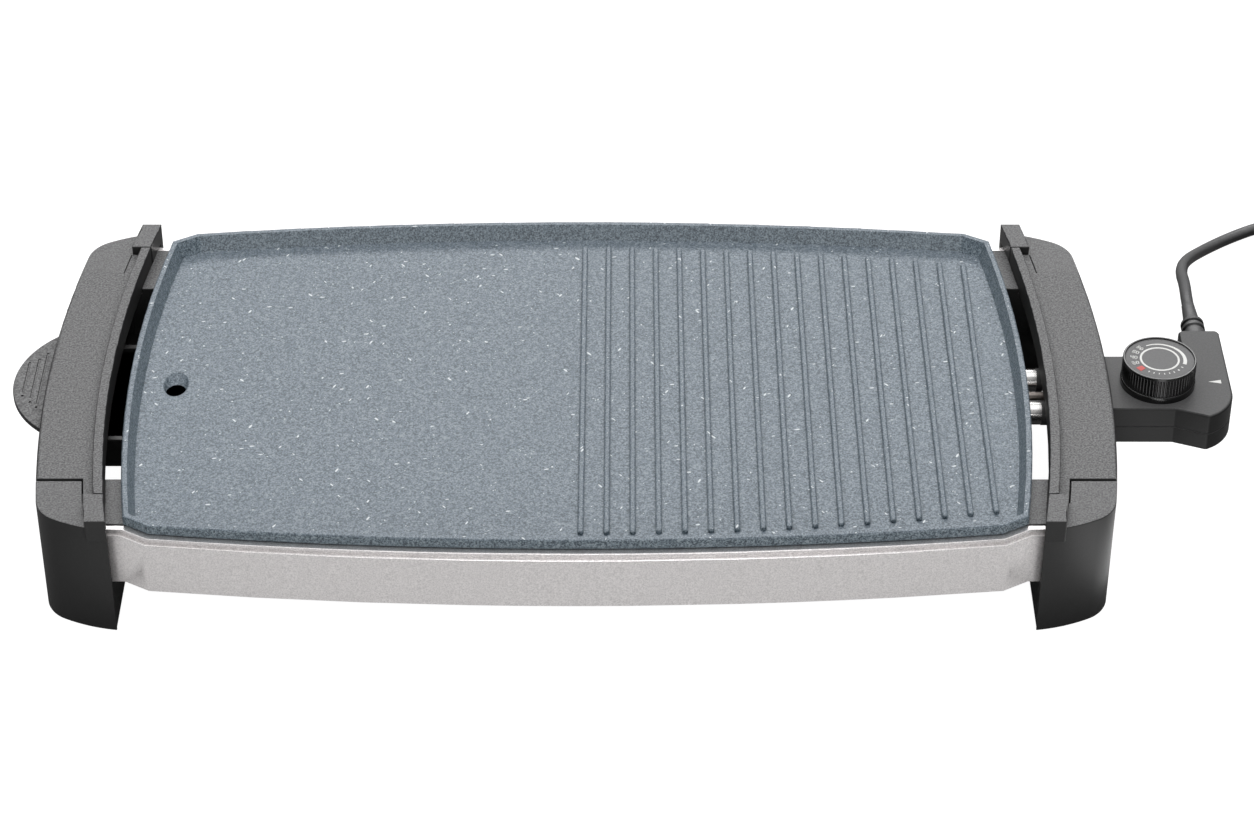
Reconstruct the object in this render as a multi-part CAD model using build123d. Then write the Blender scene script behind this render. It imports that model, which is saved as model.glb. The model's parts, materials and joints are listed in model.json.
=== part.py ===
from build123d import *
import math
import os

# Electric griddle: a cast plate on four legs and two rails, with a drip tray that slides
# out at the left and a plug-in thermostat control with its cord at the right.
# Millimetres. +X towards the control, +Y to the rear, +Z up from the floor.
# Sizes are given from the plate's own centre. save() moves everything along X, so that the
# origin lies under the middle of the griddle's box.

# Griddle plate
plate_length = 492.6
plate_width = 295.0
side_bow = 10.0
front_bow = 12.2
corner_cut_x = 13.9
corner_cut_y = 8.0
seat_height = 64.0
rim_depth = 6.3
rim_land = 3.2
rim_slope_run = 3.3
rim_inset = 4.0
rim_round = 0.8
pan_depth = 9.0
plate_floor = 4.0
rib_count = 17
rib_first_x = 2.4
rib_end_margin = 25.5
rib_first_margin = 15.3
rib_last_margin = 32.9
rib_width = 3.2
rib_height = 2.2
rib_round = 1.15
drain_margin = 24.3
drain_half_x = 6.4
drain_half_y = 10.4
drain_throat_x = 5.8
drain_throat_y = 7.6
drain_edge = 0.7
half_length = plate_length / 2
half_width = plate_width / 2
side_x = half_length - side_bow
front_y = half_width - front_bow
front_x = side_x - corner_cut_x
side_y = front_y - corner_cut_y
rim_top = seat_height + rim_depth
pan_bottom = rim_top - pan_depth
plate_under = pan_bottom - plate_floor
rib_pitch = (half_length - rib_end_margin - rib_first_x) / (rib_count - 1)
rib_first_half = half_width - rib_first_margin
rib_last_half = half_width - rib_last_margin
drain_x = half_length - drain_margin

# Screws
screw_fit = 0.05
clear_fit = 0.35
plate_screw_radius = 1.65
plate_screw_head = 3.8
plate_screw_head_height = 2.4
plate_screw_bite = 8.0
small_screw_radius = 1.4
small_screw_head = 2.7
small_screw_head_height = 1.6
clamp_screw_length = 8.0
runner_screw_length = 7.0
bar_screw_length = 11.0
cover_screw_length = 6.0
cover_screw_head = 3.4
cover_screw_head_height = 2.0
housing_screw_radius = 1.2
housing_screw_head = 2.2
housing_screw_head_height = 1.4
housing_screw_bite = 7.0
inner_screw_radius = 1.0
inner_screw_head = 2.0
inner_screw_head_height = 1.2
inner_screw_clear = 0.3
slot_half = 0.4
slot_depth = 0.7
pilot_roof = 2.0

# Heating element and terminals
element_radius = 3.5
element_fit = 0.15
element_drop = 4.3
terminal_half = 15.1
loop_side_margin = 72.5
loop_left_margin = 81.3
loop_right_margin = 56.3
jog_margin = 31.3
jog_radius = 14.0
loop_radius = 36.0
channel_width = 14.0
channel_root = 0.5
cold_sleeve_radius = 6.5
cold_sleeve_inside = 3.5
cold_end_reach = 7.7
insulator_thick = 3.3
insulator_step = 0.3
pin_radius = 2.0
pin_fit = 0.1
pin_length = 28.0
pin_round = 1.0
clamp_left_step = 85.0
clamp_right_step = 90.0
clamp_reach = 12.5
clamp_width = 9.0
clamp_thick = 1.2
clamp_boss_radius = 3.6
element_height = plate_under - element_drop
loop_half_y = half_width - loop_side_margin
loop_left_x = half_length - loop_left_margin
loop_right_x = half_length - loop_right_margin
jog_x = half_length - jog_margin
cold_sleeve_start = half_length - cold_sleeve_inside
cold_end_x = half_length + cold_end_reach
pin_end_x = cold_end_x + pin_length
channel_bottom = element_height - element_radius - element_fit

# Sensing probe
probe_radius = 2.5
probe_bore_fit = 0.1
probe_well_inside = 8.3
probe_well_length = 60.0
probe_well_wall = 6.0
probe_well_half = 7.0
probe_tip_gap = 2.0
probe_tip_round = 1.5
rod_radius = 1.5
rod_fit = 0.1
rod_tip_wall = 3.0
probe_well_end = half_length - probe_well_inside
probe_well_start = probe_well_end - probe_well_length
probe_tip_x = probe_well_start + probe_well_wall

# Rails
rail_drop = 33.5
rail_gap = 0.3
rail_lip_out = 3.2
rail_face_out = 5.4
rail_wall = 2.4
rail_step = 2.6
rail_join = 0.6
rail_lip_in = 3.4
rail_tab_length = 15.7
rail_ear_thick = 2.2
rail_ear_half = 8.0
rail_ear_reach = 6.0
rail_bottom = seat_height - rail_drop
rail_tab_x = side_x + rail_tab_length

# Ends: handle covers, legs, crossbars
end_gap = 9.2
end_depth = 36.0
end_inner_bow = 11.9
end_outer_bow = 8.0
end_side_step = 9.7
end_corner_y = 24.8
corner_mid_step_x = 18.7
corner_mid_step_y = 9.5
end_tip_step = 0.4
cover_seam_step = 42.5
tongue_seam_step = 23.8
seam = 0.5
cover_rise = 6.0
cover_thick = 3.0
cover_skirt = 6.0
cover_round = 2.0
cover_boss_radius = 4.5
cover_boss_gap = 0.3
cap_step = 1.0
lip_rise = 5.0
lip_drop = 3.0
lip_width = 5.5
lip_block_width = 11.0
lip_round = 0.6
leg_wall = 3.0
leg_bottom = 0.8
leg_side_step = 4.3
ledge_side_step = 3.0
ledge_end_step = 0.9
ledge_drop = 32.0
ledge_inside = 4.3
ledge_outside = 2.5
ledge_clear = 40.0
shelf_drop = 28.0
shelf_thick = 4.0
shelf_half = 9.0
shelf_root = 8.0
corner_boss_step_x = 16.3
corner_boss_step_y = 15.3
corner_boss_radius = 6.5
corner_boss_gap = 0.3
tongue_step_x = 16.5
tongue_width = 20.0
tongue_reach = 21.3
tongue_root = 5.0
tongue_drop = 7.7
tongue_thick = 2.9
tongue_lip = 2.0
cover_screw_step = 13.3
crossbar_width = 18.0
crossbar_bottom = 22.0
crossbar_wall = 2.5
crossbar_gap = 0.3
crossbar_end = 10.0
bar_screw_half = 4.5
bar_screw_rise = 6.0
sill_gap = 0.3
guide_gap = 0.6
guide_thick = 3.0
guide_drop = 3.0
guide_root = 4.0
foot_step_x = 8.5
foot_step_y = 25.8
foot_radius = 9.0
foot_height = 3.8
foot_round = 0.8
foot_stem_radius = 2.9
foot_stem_fit = 0.1
foot_stem_proud = 1.0
foot_bridge_bottom = 4.0
foot_bridge_thick = 2.5
foot_bridge_half = 8.0
end_inner_x = half_length + end_gap
end_outer_x = end_inner_x + end_depth
end_half_y = half_width - end_side_step
end_outer_y = end_half_y - end_corner_y
corner_mid_x = end_outer_x - corner_mid_step_x
corner_mid_y = end_half_y - corner_mid_step_y
end_tip_x = end_inner_x - end_inner_bow + end_tip_step
cover_half_y = end_half_y - cover_seam_step
tongue_half_y = end_half_y - tongue_seam_step
cover_top = seat_height + cover_rise
cover_skirt_bottom = cover_top - cover_skirt
cap_top = cover_top - cap_step
lip_top = cover_top + lip_rise
lip_bottom = seat_height - lip_drop
leg_side_y = cover_half_y - leg_side_step
ledge_half_y = leg_side_y - ledge_side_step
ledge_end_y = side_y - ledge_end_step
ledge_bottom = seat_height - ledge_drop
ledge_x = side_x - ledge_inside
ledge_outer_x = end_inner_x + ledge_outside
shelf_bottom = seat_height - shelf_drop
corner_boss_x = side_x - corner_boss_step_x
corner_boss_y = side_y - corner_boss_step_y
boss_bottom = shelf_bottom + shelf_thick + rail_ear_thick + corner_boss_gap
tongue_x = end_inner_x + tongue_step_x
crossbar_x = tongue_x
tongue_y = cover_half_y - tongue_reach
tongue_bottom = cover_top - tongue_drop
cover_screw_y = cover_half_y - cover_screw_step
foot_x = end_inner_x + foot_step_x
foot_y = end_half_y - foot_step_y
end_from = side_x - 40
end_to = end_outer_x + 40
all_above = lip_top + 20

# Drip tray
tray_outside = 3.5
tray_inside = 22.0
tray_half_y = 42.0
tray_gap = 0.8
tray_depth = 21.5
tray_wall = 1.5
tray_lip = 2.0
tray_draft = 4.0
tray_corner = 5.0
pull_step = 0.5
pull_reach = 20.3
pull_side = 1.5
pull_rise = 7.0
pull_thick = 3.0
pull_round = 0.8
pull_gap = 0.1
pull_grooves = (6.5, 11.5, 15.5)
pull_groove_front = (9.5, 15.0, 20.5)
pull_groove_rear = (18.0, 21.0, 26.5)
pull_dimple_front = (13.5, 19.2, 24.0)
pull_dimple_radius = 0.8
pull_dimple_depth = 0.8
pull_groove_width = 0.9
pull_groove_depth = 0.6
rivet_radius = 1.5
rivet_fit = 0.1
rivet_head = 1.0
rivet_rise = 11.0
rivet_half = 24.0
runner_outer_step = 4.0
runner_inner_step = 10.0
runner_side = 4.0
runner_thick = 1.6
runner_drop = 5.3
runner_flange = 15.0
runner_foot = 8.0
runner_screw_outer = 10.0
runner_screw_inner = 7.0
runner_screw_side = 8.0
runner_boss_radius = 4.2
tray_outer_x = end_outer_x - tray_outside
tray_inner_x = drain_x - tray_inside
tray_top = plate_under - tray_gap
tray_bottom = tray_top - tray_depth
pull_chord_x = end_outer_x - pull_step
pull_tip_x = pull_chord_x + pull_reach
pull_half_y = tray_half_y + pull_side
pull_top = tray_top + pull_rise
rivet_height = tray_bottom + rivet_rise
runner_x = (runner_outer_step - end_tip_x, runner_inner_step - tray_inner_x)
runner_web_y = tray_half_y + runner_side
runner_top = plate_under - runner_drop
runner_screw_x = (runner_x[0] + runner_screw_outer, runner_x[1] - runner_screw_inner)
runner_screw_y = runner_web_y + runner_screw_side

# Thermostat control
control_drop = 13.5
control_height = 23.5
control_split_rise = 11.1
control_wall = 2.0
split_gap = 0.2
nose_step = 8.5
nose_half_y = 24.8
nose_reach = 34.5
belly_step = 18.0
belly_y = 31.7
shoulder_step = 33.4
shoulder_y = 8.2
arm_step = 10.5
arm_rear_y = 49.0
housing_round = 3.0
housing_edge = 1.0
sleeve_radius = 6.25
sleeve_gap = 1.0
sleeve_length = 33.7
hole_fit = 0.1
post_radius = 3.0
post_sink = 3.0
post_head_fit = 0.2
dial_step = 7.0
collar_radius = 20.6
collar_height = 4.0
collar_round = 1.2
collar_bore_gap = 0.3
knob_gap = 0.3
knob_radius = 20.2
knob_height = 15.5
knob_floor = 3.0
knob_wall = 1.2
knob_edge = 0.7
knob_hub = 2.5
knob_press = 0.03
flute_count = 72
flute_radius = 0.7
flute_depth = 0.35
disc_radius = 18.9
disc_thick = 1.0
disc_fit = 0.1
spindle_radius = 3.0
spindle_fit = 0.08
spindle_depth = 11.2
clip_radius = 4.6
clip_thick = 0.9
clip_groove = 0.5
clip_gap = 0.3
clip_fit = 0.05
base_half_x = 13.0
base_half_y = 13.0
base_rise = 4.5
base_thick = 4.0
base_post_radius = 2.6
base_screw_step = 5.0
base_screw_y = 9.0
base_screw_length = 5.5
blade_half_y = 3.5
blade_thick = 0.5
blade_gap = 2.4
blade_root = 6.0
point_radius = 1.5
point_height = 0.9
point_step = 4.0
bracket_step = 4.0
bracket_thick = 2.0
bracket_half_y = 9.5
bracket_rise = 5.0
lead_radius = 1.0
lead_bend = 4.0
control_bottom = element_height - control_drop
control_split = control_bottom + control_split_rise
control_top = control_bottom + control_height
guide_top = control_top - guide_drop
nose_inner_x = end_inner_x + nose_step
nose_front_x = end_outer_x + nose_reach
belly_x = nose_front_x + belly_step
shoulder_x = nose_front_x + shoulder_step
arm_left_x = nose_front_x + arm_step
dial_x = nose_front_x - dial_step
sleeve_start = cold_end_x + insulator_thick + sleeve_gap
sleeve_end = sleeve_start + sleeve_length
post_places = (
    (dial_x - 16.0, 19.2),
    (dial_x - 16.0, -19.2),
    (nose_front_x + 25.0, -12.0),
    (nose_front_x + 27.8, 16.0),
)
knob_top = control_top + knob_height
spindle_bottom = control_top - spindle_depth
base_x = (dial_x - base_half_x, dial_x + base_half_x)
base_bottom = control_bottom + base_rise
base_top = base_bottom + base_thick
base_screw_x = base_x[0] + base_screw_step
bracket_x = sleeve_end + bracket_step
bracket_top = element_height + bracket_rise
probe_end_x = bracket_x + bracket_thick + 2

# Cord, from its exit: steps along X and Y, and heights above the floor
cord_radius = 3.5
cord_step = 22.5
cord_rise = 11.5
relief_length = 26.0
relief_tail = 4.0
relief_collar_radius = 6.6
relief_collar_length = 6.0
relief_tip_radius = 4.6
relief_hole_radius = 5.0
relief_flange = 1.6
relief_rings = 5
ring_width = 1.2
ring_depth = 0.6
clamp_bar_half = 5.9
clamp_bar_step = 9.0
clamp_bar_gap = 0.1
clamp_bar_thick = 1.8
clamp_bar_width = 5.0
clamp_bar_end = 2.0
clamp_post_radius = 2.1
clamp_screw_head = 1.8
clamp_bar_screw_length = 6.0
cord_rest_height = 3.6
cord_x = nose_front_x + cord_step
cord_height = control_bottom + cord_rise
relief_end_y = arm_rear_y + relief_length
cord_steps = (
    (0.0, 0.0, cord_height),
    (0.0, 19.0, cord_height),
    (2.5, 44.0, 45.5),
    (5.0, 74.0, 33.5),
    (13.0, 106.0, 19.5),
    (29.5, 134.0, 8.4),
    (47.5, 153.5, cord_rest_height),
    (68.5, 166.0, cord_rest_height),
    (89.5, 171.5, cord_rest_height),
    (109.5, 171.5, cord_rest_height),
)
cord_route = [(cord_x + x, relief_end_y + y, z) for x, y, z in cord_steps]
clamp_bar_x = (cord_x - clamp_bar_half, cord_x + clamp_bar_half)
clamp_bar_y = arm_rear_y - clamp_bar_step
clamp_bar_bottom = cord_height + cord_radius + clamp_bar_gap

# Wound cord, its tie and the plug
coil_turns = 3
coil_turn_radius = 38.5
coil_half_width = 7.5
coil_height = 14.6
coil_lead = 28.0
coil_round = 3.0
coil_floor = 0.1
coil_gap = 0.05
plug_lead = 34.0
plug_height = 7.6
plug_boot = 18.0
plug_boot_radius = 6.2
plug_boot_grip = 1.4
plug_overlap = 2.0
plug_length = 34.0
plug_swell = 14.0
plug_width = 26.0
plug_thick = 15.0
plug_pin_radius = 2.4
plug_pin_length = 19.0
plug_pin_half = 9.5
plug_pin_round = 1.2
plug_shank_radius = 1.8
plug_shank = 8.0
tie_thick = 1.2
tie_width = 9.0
tie_gap = 0.5

# Worked out from the sizes above
origin_x = (shoulder_x - pull_tip_x) / 2
coil_x = cord_route[-1][0] + coil_lead
coil_turn_out = coil_turn_radius + coil_half_width - cord_radius
coil_y = cord_route[-1][1] + coil_turn_out
plug_x = coil_x + plug_lead
os.makedirs("parts", exist_ok=True)


def save(name, shape):
    # Writes one sub-part, moved to the griddle's own origin.
    solids = [Pos(-origin_x, 0, 0) * solid for solid in shape.solids()]
    whole = solids[0] if len(solids) == 1 else Compound(children=solids)
    export_step(whole, f"parts/{name}.step")


def group(shapes):
    return Compound(children=[solid for shape in shapes for solid in shape.solids()])


def block(x, y, z):
    # A box between two limits on each axis.
    size = [high - low for low, high in (x, y, z)]
    middle = [(high + low) / 2 for low, high in (x, y, z)]
    return Pos(*middle) * Box(*size)


def rod(radius, bottom, top, x=0.0, y=0.0):
    return Pos(x, y, (bottom + top) / 2) * Cylinder(radius, top - bottom)


def rod_x(radius, start, end, y, z):
    return Pos((start + end) / 2, y, z) * Rot(0, 90, 0) * Cylinder(radius, end - start)


def rod_y(radius, start, end, x, z):
    return Pos(x, (start + end) / 2, z) * Rot(90, 0, 0) * Cylinder(radius, end - start)


def mirrored(shape, x=1, y=1):
    if x < 0:
        shape = mirror(shape, Plane.YZ)
    if y < 0:
        shape = mirror(shape, Plane.XZ)
    return shape


def barrel_face(grow=0.0):
    # The plate's outline: four bowed sides joined by short corner cuts.
    half_x, half_y = half_length, half_width
    outline = Wire([
        Edge.make_three_point_arc((side_x, -side_y), (half_x, 0), (side_x, side_y)),
        Edge.make_line((side_x, side_y), (front_x, front_y)),
        Edge.make_three_point_arc((front_x, front_y), (0, half_y), (-front_x, front_y)),
        Edge.make_line((-front_x, front_y), (-side_x, side_y)),
        Edge.make_three_point_arc((-side_x, side_y), (-half_x, 0), (-side_x, -side_y)),
        Edge.make_line((-side_x, -side_y), (-front_x, -front_y)),
        Edge.make_three_point_arc((-front_x, -front_y), (0, -half_y), (front_x, -front_y)),
        Edge.make_line((front_x, -front_y), (side_x, -side_y)),
    ])
    if grow:
        outline = outline.offset_2d(grow, kind=Kind.INTERSECTION)
    return Face(outline)


def barrel(bottom, top, grow=0.0):
    return extrude(Pos(0, 0, bottom) * barrel_face(grow), amount=top - bottom, dir=(0, 0, 1))


def pan_hollow():
    # The cooking surface's hollow, with sloped sides up to the rim's land.
    low = Pos(0, 0, pan_bottom) * barrel_face(-rim_land - rim_slope_run)
    high = Pos(0, 0, rim_top) * barrel_face(-rim_land)
    above = barrel(rim_top, rim_top + 1, -rim_land)
    return Solid.make_loft([low.outer_wire(), high.outer_wire()], ruled=True) + above


def rib_half_length(x):
    last_x = rib_first_x + rib_pitch * (rib_count - 1)
    share = (x - rib_first_x) / (last_x - rib_first_x)
    return rib_first_half - (rib_first_half - rib_last_half) * share ** 2


def plate_rib(x):
    slot = SlotOverall(2 * rib_half_length(x), rib_width, rotation=90)
    rib = extrude(Pos(x, 0, pan_bottom - 0.5) * slot, amount=rib_height + 0.5)
    return fillet(rib.faces().sort_by(Axis.Z)[-1].edges(), rib_round)


def element_path(end_x):
    corners = [
        (end_x, terminal_half), (jog_x, terminal_half), (loop_right_x, loop_half_y),
        (-loop_left_x, loop_half_y), (-loop_left_x, -loop_half_y),
        (loop_right_x, -loop_half_y), (jog_x, -terminal_half), (end_x, -terminal_half),
    ]
    radii = [jog_radius, jog_radius, loop_radius, loop_radius, jog_radius, jog_radius]
    points = [(x, y, element_height) for x, y in corners]
    return FilletPolyline(*points, radius=radii)


def swept_section(path, section):
    start = Plane(origin=path @ 0, x_dir=(0, 1, 0), z_dir=path % 0)
    return sweep(start * section, path=path)


def element_channel():
    path = element_path(probe_well_end)
    height = plate_under + channel_root - channel_bottom
    middle = (plate_under + channel_root + channel_bottom) / 2 - element_height
    return swept_section(path, Pos(0, -middle) * Rectangle(channel_width, height))


def element_groove():
    # Round at the top, open downwards. Its section's own Y points down.
    path = element_path(probe_well_end + 8)
    radius = element_radius + element_fit
    section = Circle(radius) + Pos(0, 6) * Rectangle(2 * radius, 12)
    return swept_section(path, section)


def clamp_spots():
    # Each clamp's place: X, the run's Y.
    places = (loop_right_x - clamp_right_step, clamp_left_step - loop_left_x)
    return [(x, side * loop_half_y) for side in (1, -1) for x in places]


def clamp_screw_spots():
    return [(x, y + step) for x, y in clamp_spots() for step in (-clamp_reach, clamp_reach)]


def corner_spots():
    return [(x, y) for x in (-corner_boss_x, corner_boss_x) for y in (-corner_boss_y, corner_boss_y)]


def runner_screw_spots():
    return [(x, y) for x in runner_screw_x for y in (-runner_screw_y, runner_screw_y)]


def plate_bosses():
    bosses = [rod(corner_boss_radius, boss_bottom, plate_under + 1, x, y) for x, y in corner_spots()]
    bosses += [rod(runner_boss_radius, runner_top, plate_under + 1, x, y) for x, y in runner_screw_spots()]
    bosses += [rod(clamp_boss_radius, channel_bottom, plate_under + 1, x, y)
               for x, y in clamp_screw_spots()]
    return bosses


def plate_pilots():
    pilots = [rod(plate_screw_radius + screw_fit, boss_bottom - 1, pan_bottom - pilot_roof, x, y)
              for x, y in corner_spots()]
    pilots += [rod(small_screw_radius + screw_fit, runner_top - 1, pan_bottom - pilot_roof, x, y)
               for x, y in runner_screw_spots()]
    pilots += [rod(small_screw_radius + screw_fit, channel_bottom - 1, pan_bottom - pilot_roof, x, y)
               for x, y in clamp_screw_spots()]
    return pilots


def drain_hole():
    # An oval funnel that slopes down from the rear to a smaller throat at the front.
    levels = [
        (plate_under - 1, drain_throat_x, drain_throat_y, drain_throat_y - drain_half_y),
        (plate_under, drain_throat_x, drain_throat_y, drain_throat_y - drain_half_y),
        (pan_bottom - drain_edge, drain_half_x, drain_half_y, 0),
        (pan_bottom, drain_half_x + drain_edge, drain_half_y + drain_edge, 0),
        (pan_bottom + 1, drain_half_x + drain_edge, drain_half_y + drain_edge, 0),
    ]
    wires = [(Pos(-drain_x, y, z) * Ellipse(half_x, half_y)).wire() for z, half_x, half_y, y in levels]
    stages = [Solid.make_loft([low, high], ruled=True) for low, high in zip(wires, wires[1:])]
    hole = stages[0]
    for stage in stages[1:]:
        hole += stage
    return hole


def griddle_plate():
    rim = barrel(seat_height, rim_top)
    rim = chamfer(rim.faces().sort_by(Axis.Z)[0].edges(), rim_round)
    rim = fillet(rim.faces().sort_by(Axis.Z)[-1].edges(), rim_round)
    body = rim + barrel(plate_under, seat_height + 1, -rim_inset) - pan_hollow()
    body += [plate_rib(rib_first_x + rib_pitch * index) for index in range(rib_count)]
    body += element_channel()
    well_bottom = element_height - probe_well_half
    body += block((probe_well_start, probe_well_end), (-probe_well_half, probe_well_half),
                  (well_bottom, plate_under + 1))
    body += plate_bosses()
    body -= element_groove()
    body -= rod_x(probe_radius + probe_bore_fit, probe_tip_x - probe_tip_gap, probe_well_end + 1,
                  0, element_height)
    body -= plate_pilots()
    return body - drain_hole()


def heating_element():
    return swept_section(element_path(cold_end_x), Circle(element_radius))


def at_terminals(radius, start, end, bore=0.0):
    pieces = []
    for y in (-terminal_half, terminal_half):
        piece = rod_x(radius, start, end, y, element_height)
        if bore:
            piece -= rod_x(bore, start - 1, end + 1, y, element_height)
        pieces.append(piece)
    return pieces


def cold_end_sleeves():
    sleeves = at_terminals(cold_sleeve_radius, cold_sleeve_start, cold_end_x, element_radius + element_fit)
    return group(sleeves)


def terminal_insulators():
    end = cold_end_x + insulator_thick
    return group(at_terminals(cold_sleeve_radius + insulator_step, cold_end_x, end, pin_radius + pin_fit))


def terminal_pins():
    pins = at_terminals(pin_radius, cold_end_x, pin_end_x)
    return group([fillet(pin.edges().sort_by(Axis.X)[-1], pin_round) for pin in pins])


def element_clamps():
    clamps = []
    for x, y in clamp_spots():
        half = clamp_reach + clamp_boss_radius
        clamp = block((x - clamp_width / 2, x + clamp_width / 2), (y - half, y + half),
                      (channel_bottom - clamp_thick, channel_bottom))
        for step in (-clamp_reach, clamp_reach):
            clamp -= rod(small_screw_radius + clear_fit, channel_bottom - 3, channel_bottom + 1, x,
                         y + step)
        clamps.append(clamp)
    return group(clamps)


def screw(radius, head_radius, head_bottom, head_height, length, x, y):
    # A screw driven upwards, its head at the bottom.
    head = rod(head_radius, head_bottom, head_bottom + head_height, x, y)
    head = chamfer(head.faces().sort_by(Axis.Z)[0].edges(), head_height * 0.3)
    slot = block((x - head_radius, x + head_radius), (y - slot_half, y + slot_half),
                 (head_bottom, head_bottom + slot_depth))
    shank = rod(radius, head_bottom + head_height, head_bottom + head_height + length, x, y)
    return head - slot + shank


def plate_screws():
    length = boss_bottom + plate_screw_bite + shelf_thick - shelf_bottom
    bottom = shelf_bottom - plate_screw_head_height
    return group([screw(plate_screw_radius, plate_screw_head, bottom, plate_screw_head_height, length, x, y)
                  for x, y in corner_spots()])


def element_clamp_screws():
    bottom = channel_bottom - clamp_thick - small_screw_head_height
    return group([screw(small_screw_radius, small_screw_head, bottom, small_screw_head_height,
                        clamp_screw_length, x, y)
                  for x, y in clamp_screw_spots()])


def runner_screws():
    bottom = runner_top - runner_thick - small_screw_head_height
    return group([screw(small_screw_radius, small_screw_head, bottom, small_screw_head_height,
                        runner_screw_length, x, y)
                  for x, y in runner_screw_spots()])


def rail_line(out):
    # One edge of the rear rail: the plate's line moved outwards, ending in a straight tab.
    cut = Vector(corner_cut_x, -corner_cut_y).normalized()
    cut_normal = Vector(-cut.Y, cut.X)
    radius = (front_x ** 2 + front_bow ** 2) / (2 * front_bow)
    arc_normal = Vector(front_x / radius, 1 - front_bow / radius)
    arc_normal = arc_normal.normalized()
    bend = (cut_normal + arc_normal) * (out / (1 + cut_normal.dot(arc_normal)))
    tab_normal = Vector(0, 1)
    knee = (cut_normal + tab_normal) * (out / (1 + cut_normal.dot(tab_normal)))
    inner = Vector(front_x, front_y) + bend
    outer = Vector(side_x, side_y) + knee
    middle = half_width + out
    return inner, outer, middle


def rail_band(inside, outside, bottom, top):
    # A strip of the rail between two offsets from the plate's line.
    edges = []
    ends = []
    for out in (inside, outside):
        inner, outer, middle = rail_line(out)
        tip = Vector(rail_tab_x, outer.Y)
        edges += [
            Edge.make_line((-tip.X, tip.Y), (-outer.X, outer.Y)),
            Edge.make_line((-outer.X, outer.Y), (-inner.X, inner.Y)),
            Edge.make_three_point_arc((-inner.X, inner.Y), (0, middle), (inner.X, inner.Y)),
            Edge.make_line((inner.X, inner.Y), (outer.X, outer.Y)),
            Edge.make_line((outer.X, outer.Y), (tip.X, tip.Y)),
        ]
        ends.append(tip.Y)
    edges.append(Edge.make_line((rail_tab_x, ends[0]), (rail_tab_x, ends[1])))
    edges.append(Edge.make_line((-rail_tab_x, ends[0]), (-rail_tab_x, ends[1])))
    face = Face(Wire.combine(edges)[0])
    return extrude(Pos(0, 0, bottom) * face, amount=top - bottom, dir=(0, 0, 1))


def rear_rail():
    top = seat_height - rail_gap
    step = top - rail_step
    rail = rail_band(rail_face_out - rail_wall, rail_face_out, rail_bottom, step)
    rail += rail_band(-rail_lip_in, rail_lip_out, step - rail_join, top)
    for side in (-1, 1):
        # The lip stops where the leg's ledge carries the plate's corner.
        x = sorted((side * (ledge_x - seam), side * (rail_tab_x + 2)))
        rail -= block(x, (ledge_end_y - 30, ledge_end_y + seam), (step - 2, top + 1))
        x = side * corner_boss_x
        ear_bottom = shelf_bottom + shelf_thick
        ear_end = front_y + rail_face_out - rail_wall
        rail += block((x - rail_ear_half, x + rail_ear_half),
                      (corner_boss_y - rail_ear_reach, ear_end + rail_join),
                      (ear_bottom, ear_bottom + rail_ear_thick))
        rail -= rod(plate_screw_radius + clear_fit, ear_bottom - 1, ear_bottom + 5, x, corner_boss_y)
    return rail


def end_face(inset=0.0):
    # Plan of the right end: inner bow, outer bow and two large corners.
    inner_x = end_inner_x - end_inner_bow
    outer_x = end_outer_x - end_outer_bow
    outer = Edge.make_three_point_arc((outer_x, -end_outer_y), (end_outer_x, 0), (outer_x, end_outer_y))
    side = Edge.make_tangent_arc((outer_x, end_outer_y), outer % 1, (corner_mid_x, corner_mid_y))
    tip = Edge.make_tangent_arc(side @ 1, side % 1, (inner_x, end_half_y))
    inner = Edge.make_three_point_arc((inner_x, -end_half_y), (end_inner_x, 0), (inner_x, end_half_y))
    wire = Wire([outer, side, tip, inner, tip.mirror(Plane.XZ), side.mirror(Plane.XZ)])
    if inset:
        wire = wire.offset_2d(-inset, kind=Kind.INTERSECTION)
    return Face(wire)


def end_slab(bottom, top, inset=0.0):
    return extrude(Pos(0, 0, bottom) * end_face(inset), amount=top - bottom, dir=(0, 0, 1))


def inner_strip(width, bottom, top):
    # A strip along the inner bow.
    reach = end_half_y
    inner_x = end_inner_x - end_inner_bow
    wire = Wire([
        Edge.make_three_point_arc((inner_x, -reach), (end_inner_x, 0), (inner_x, reach)),
        Edge.make_line((inner_x, reach), (inner_x + width, reach)),
        Edge.make_three_point_arc((inner_x + width, reach), (end_inner_x + width, 0),
                                  (inner_x + width, -reach)),
        Edge.make_line((inner_x + width, -reach), (inner_x, -reach)),
    ])
    return extrude(Pos(0, 0, bottom) * Face(wire), amount=top - bottom, dir=(0, 0, 1))


def slice_y(low, high):
    return block((end_from, end_to), (low, high), (-1, all_above))


def top_edges(shape, height):
    return shape.edges().filter_by_position(Axis.Z, height - 0.01, height + 0.01)


def handle_cover():
    # The right cover: a panel with a shallow skirt, and a lip along its inner edge.
    panel = end_slab(cover_skirt_bottom, cover_top) & slice_y(-cover_half_y, cover_half_y)
    panel = fillet(top_edges(panel, cover_top).sort_by(Axis.X)[-1], cover_round)
    under = end_slab(cover_skirt_bottom - 1, cover_top - cover_thick, cover_thick)
    panel -= under & slice_y(-cover_half_y - 1, cover_half_y + 1)
    tongue = inner_strip(lip_block_width, cover_top - cover_thick, cover_top)
    lip = inner_strip(lip_width, lip_bottom, lip_top) & slice_y(-tongue_half_y, tongue_half_y)
    lip = fillet(top_edges(lip, lip_top), lip_round)
    cover = panel + lip + (tongue & slice_y(-tongue_half_y, tongue_half_y))
    for y in (-cover_screw_y, cover_screw_y):
        cover += rod(cover_boss_radius, tongue_bottom + tongue_thick + cover_boss_gap,
                     cover_top - cover_thick / 2, tongue_x, y)
        cover -= rod(small_screw_radius + screw_fit, tongue_bottom, cover_top - 1, tongue_x, y)
    return cover


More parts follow.
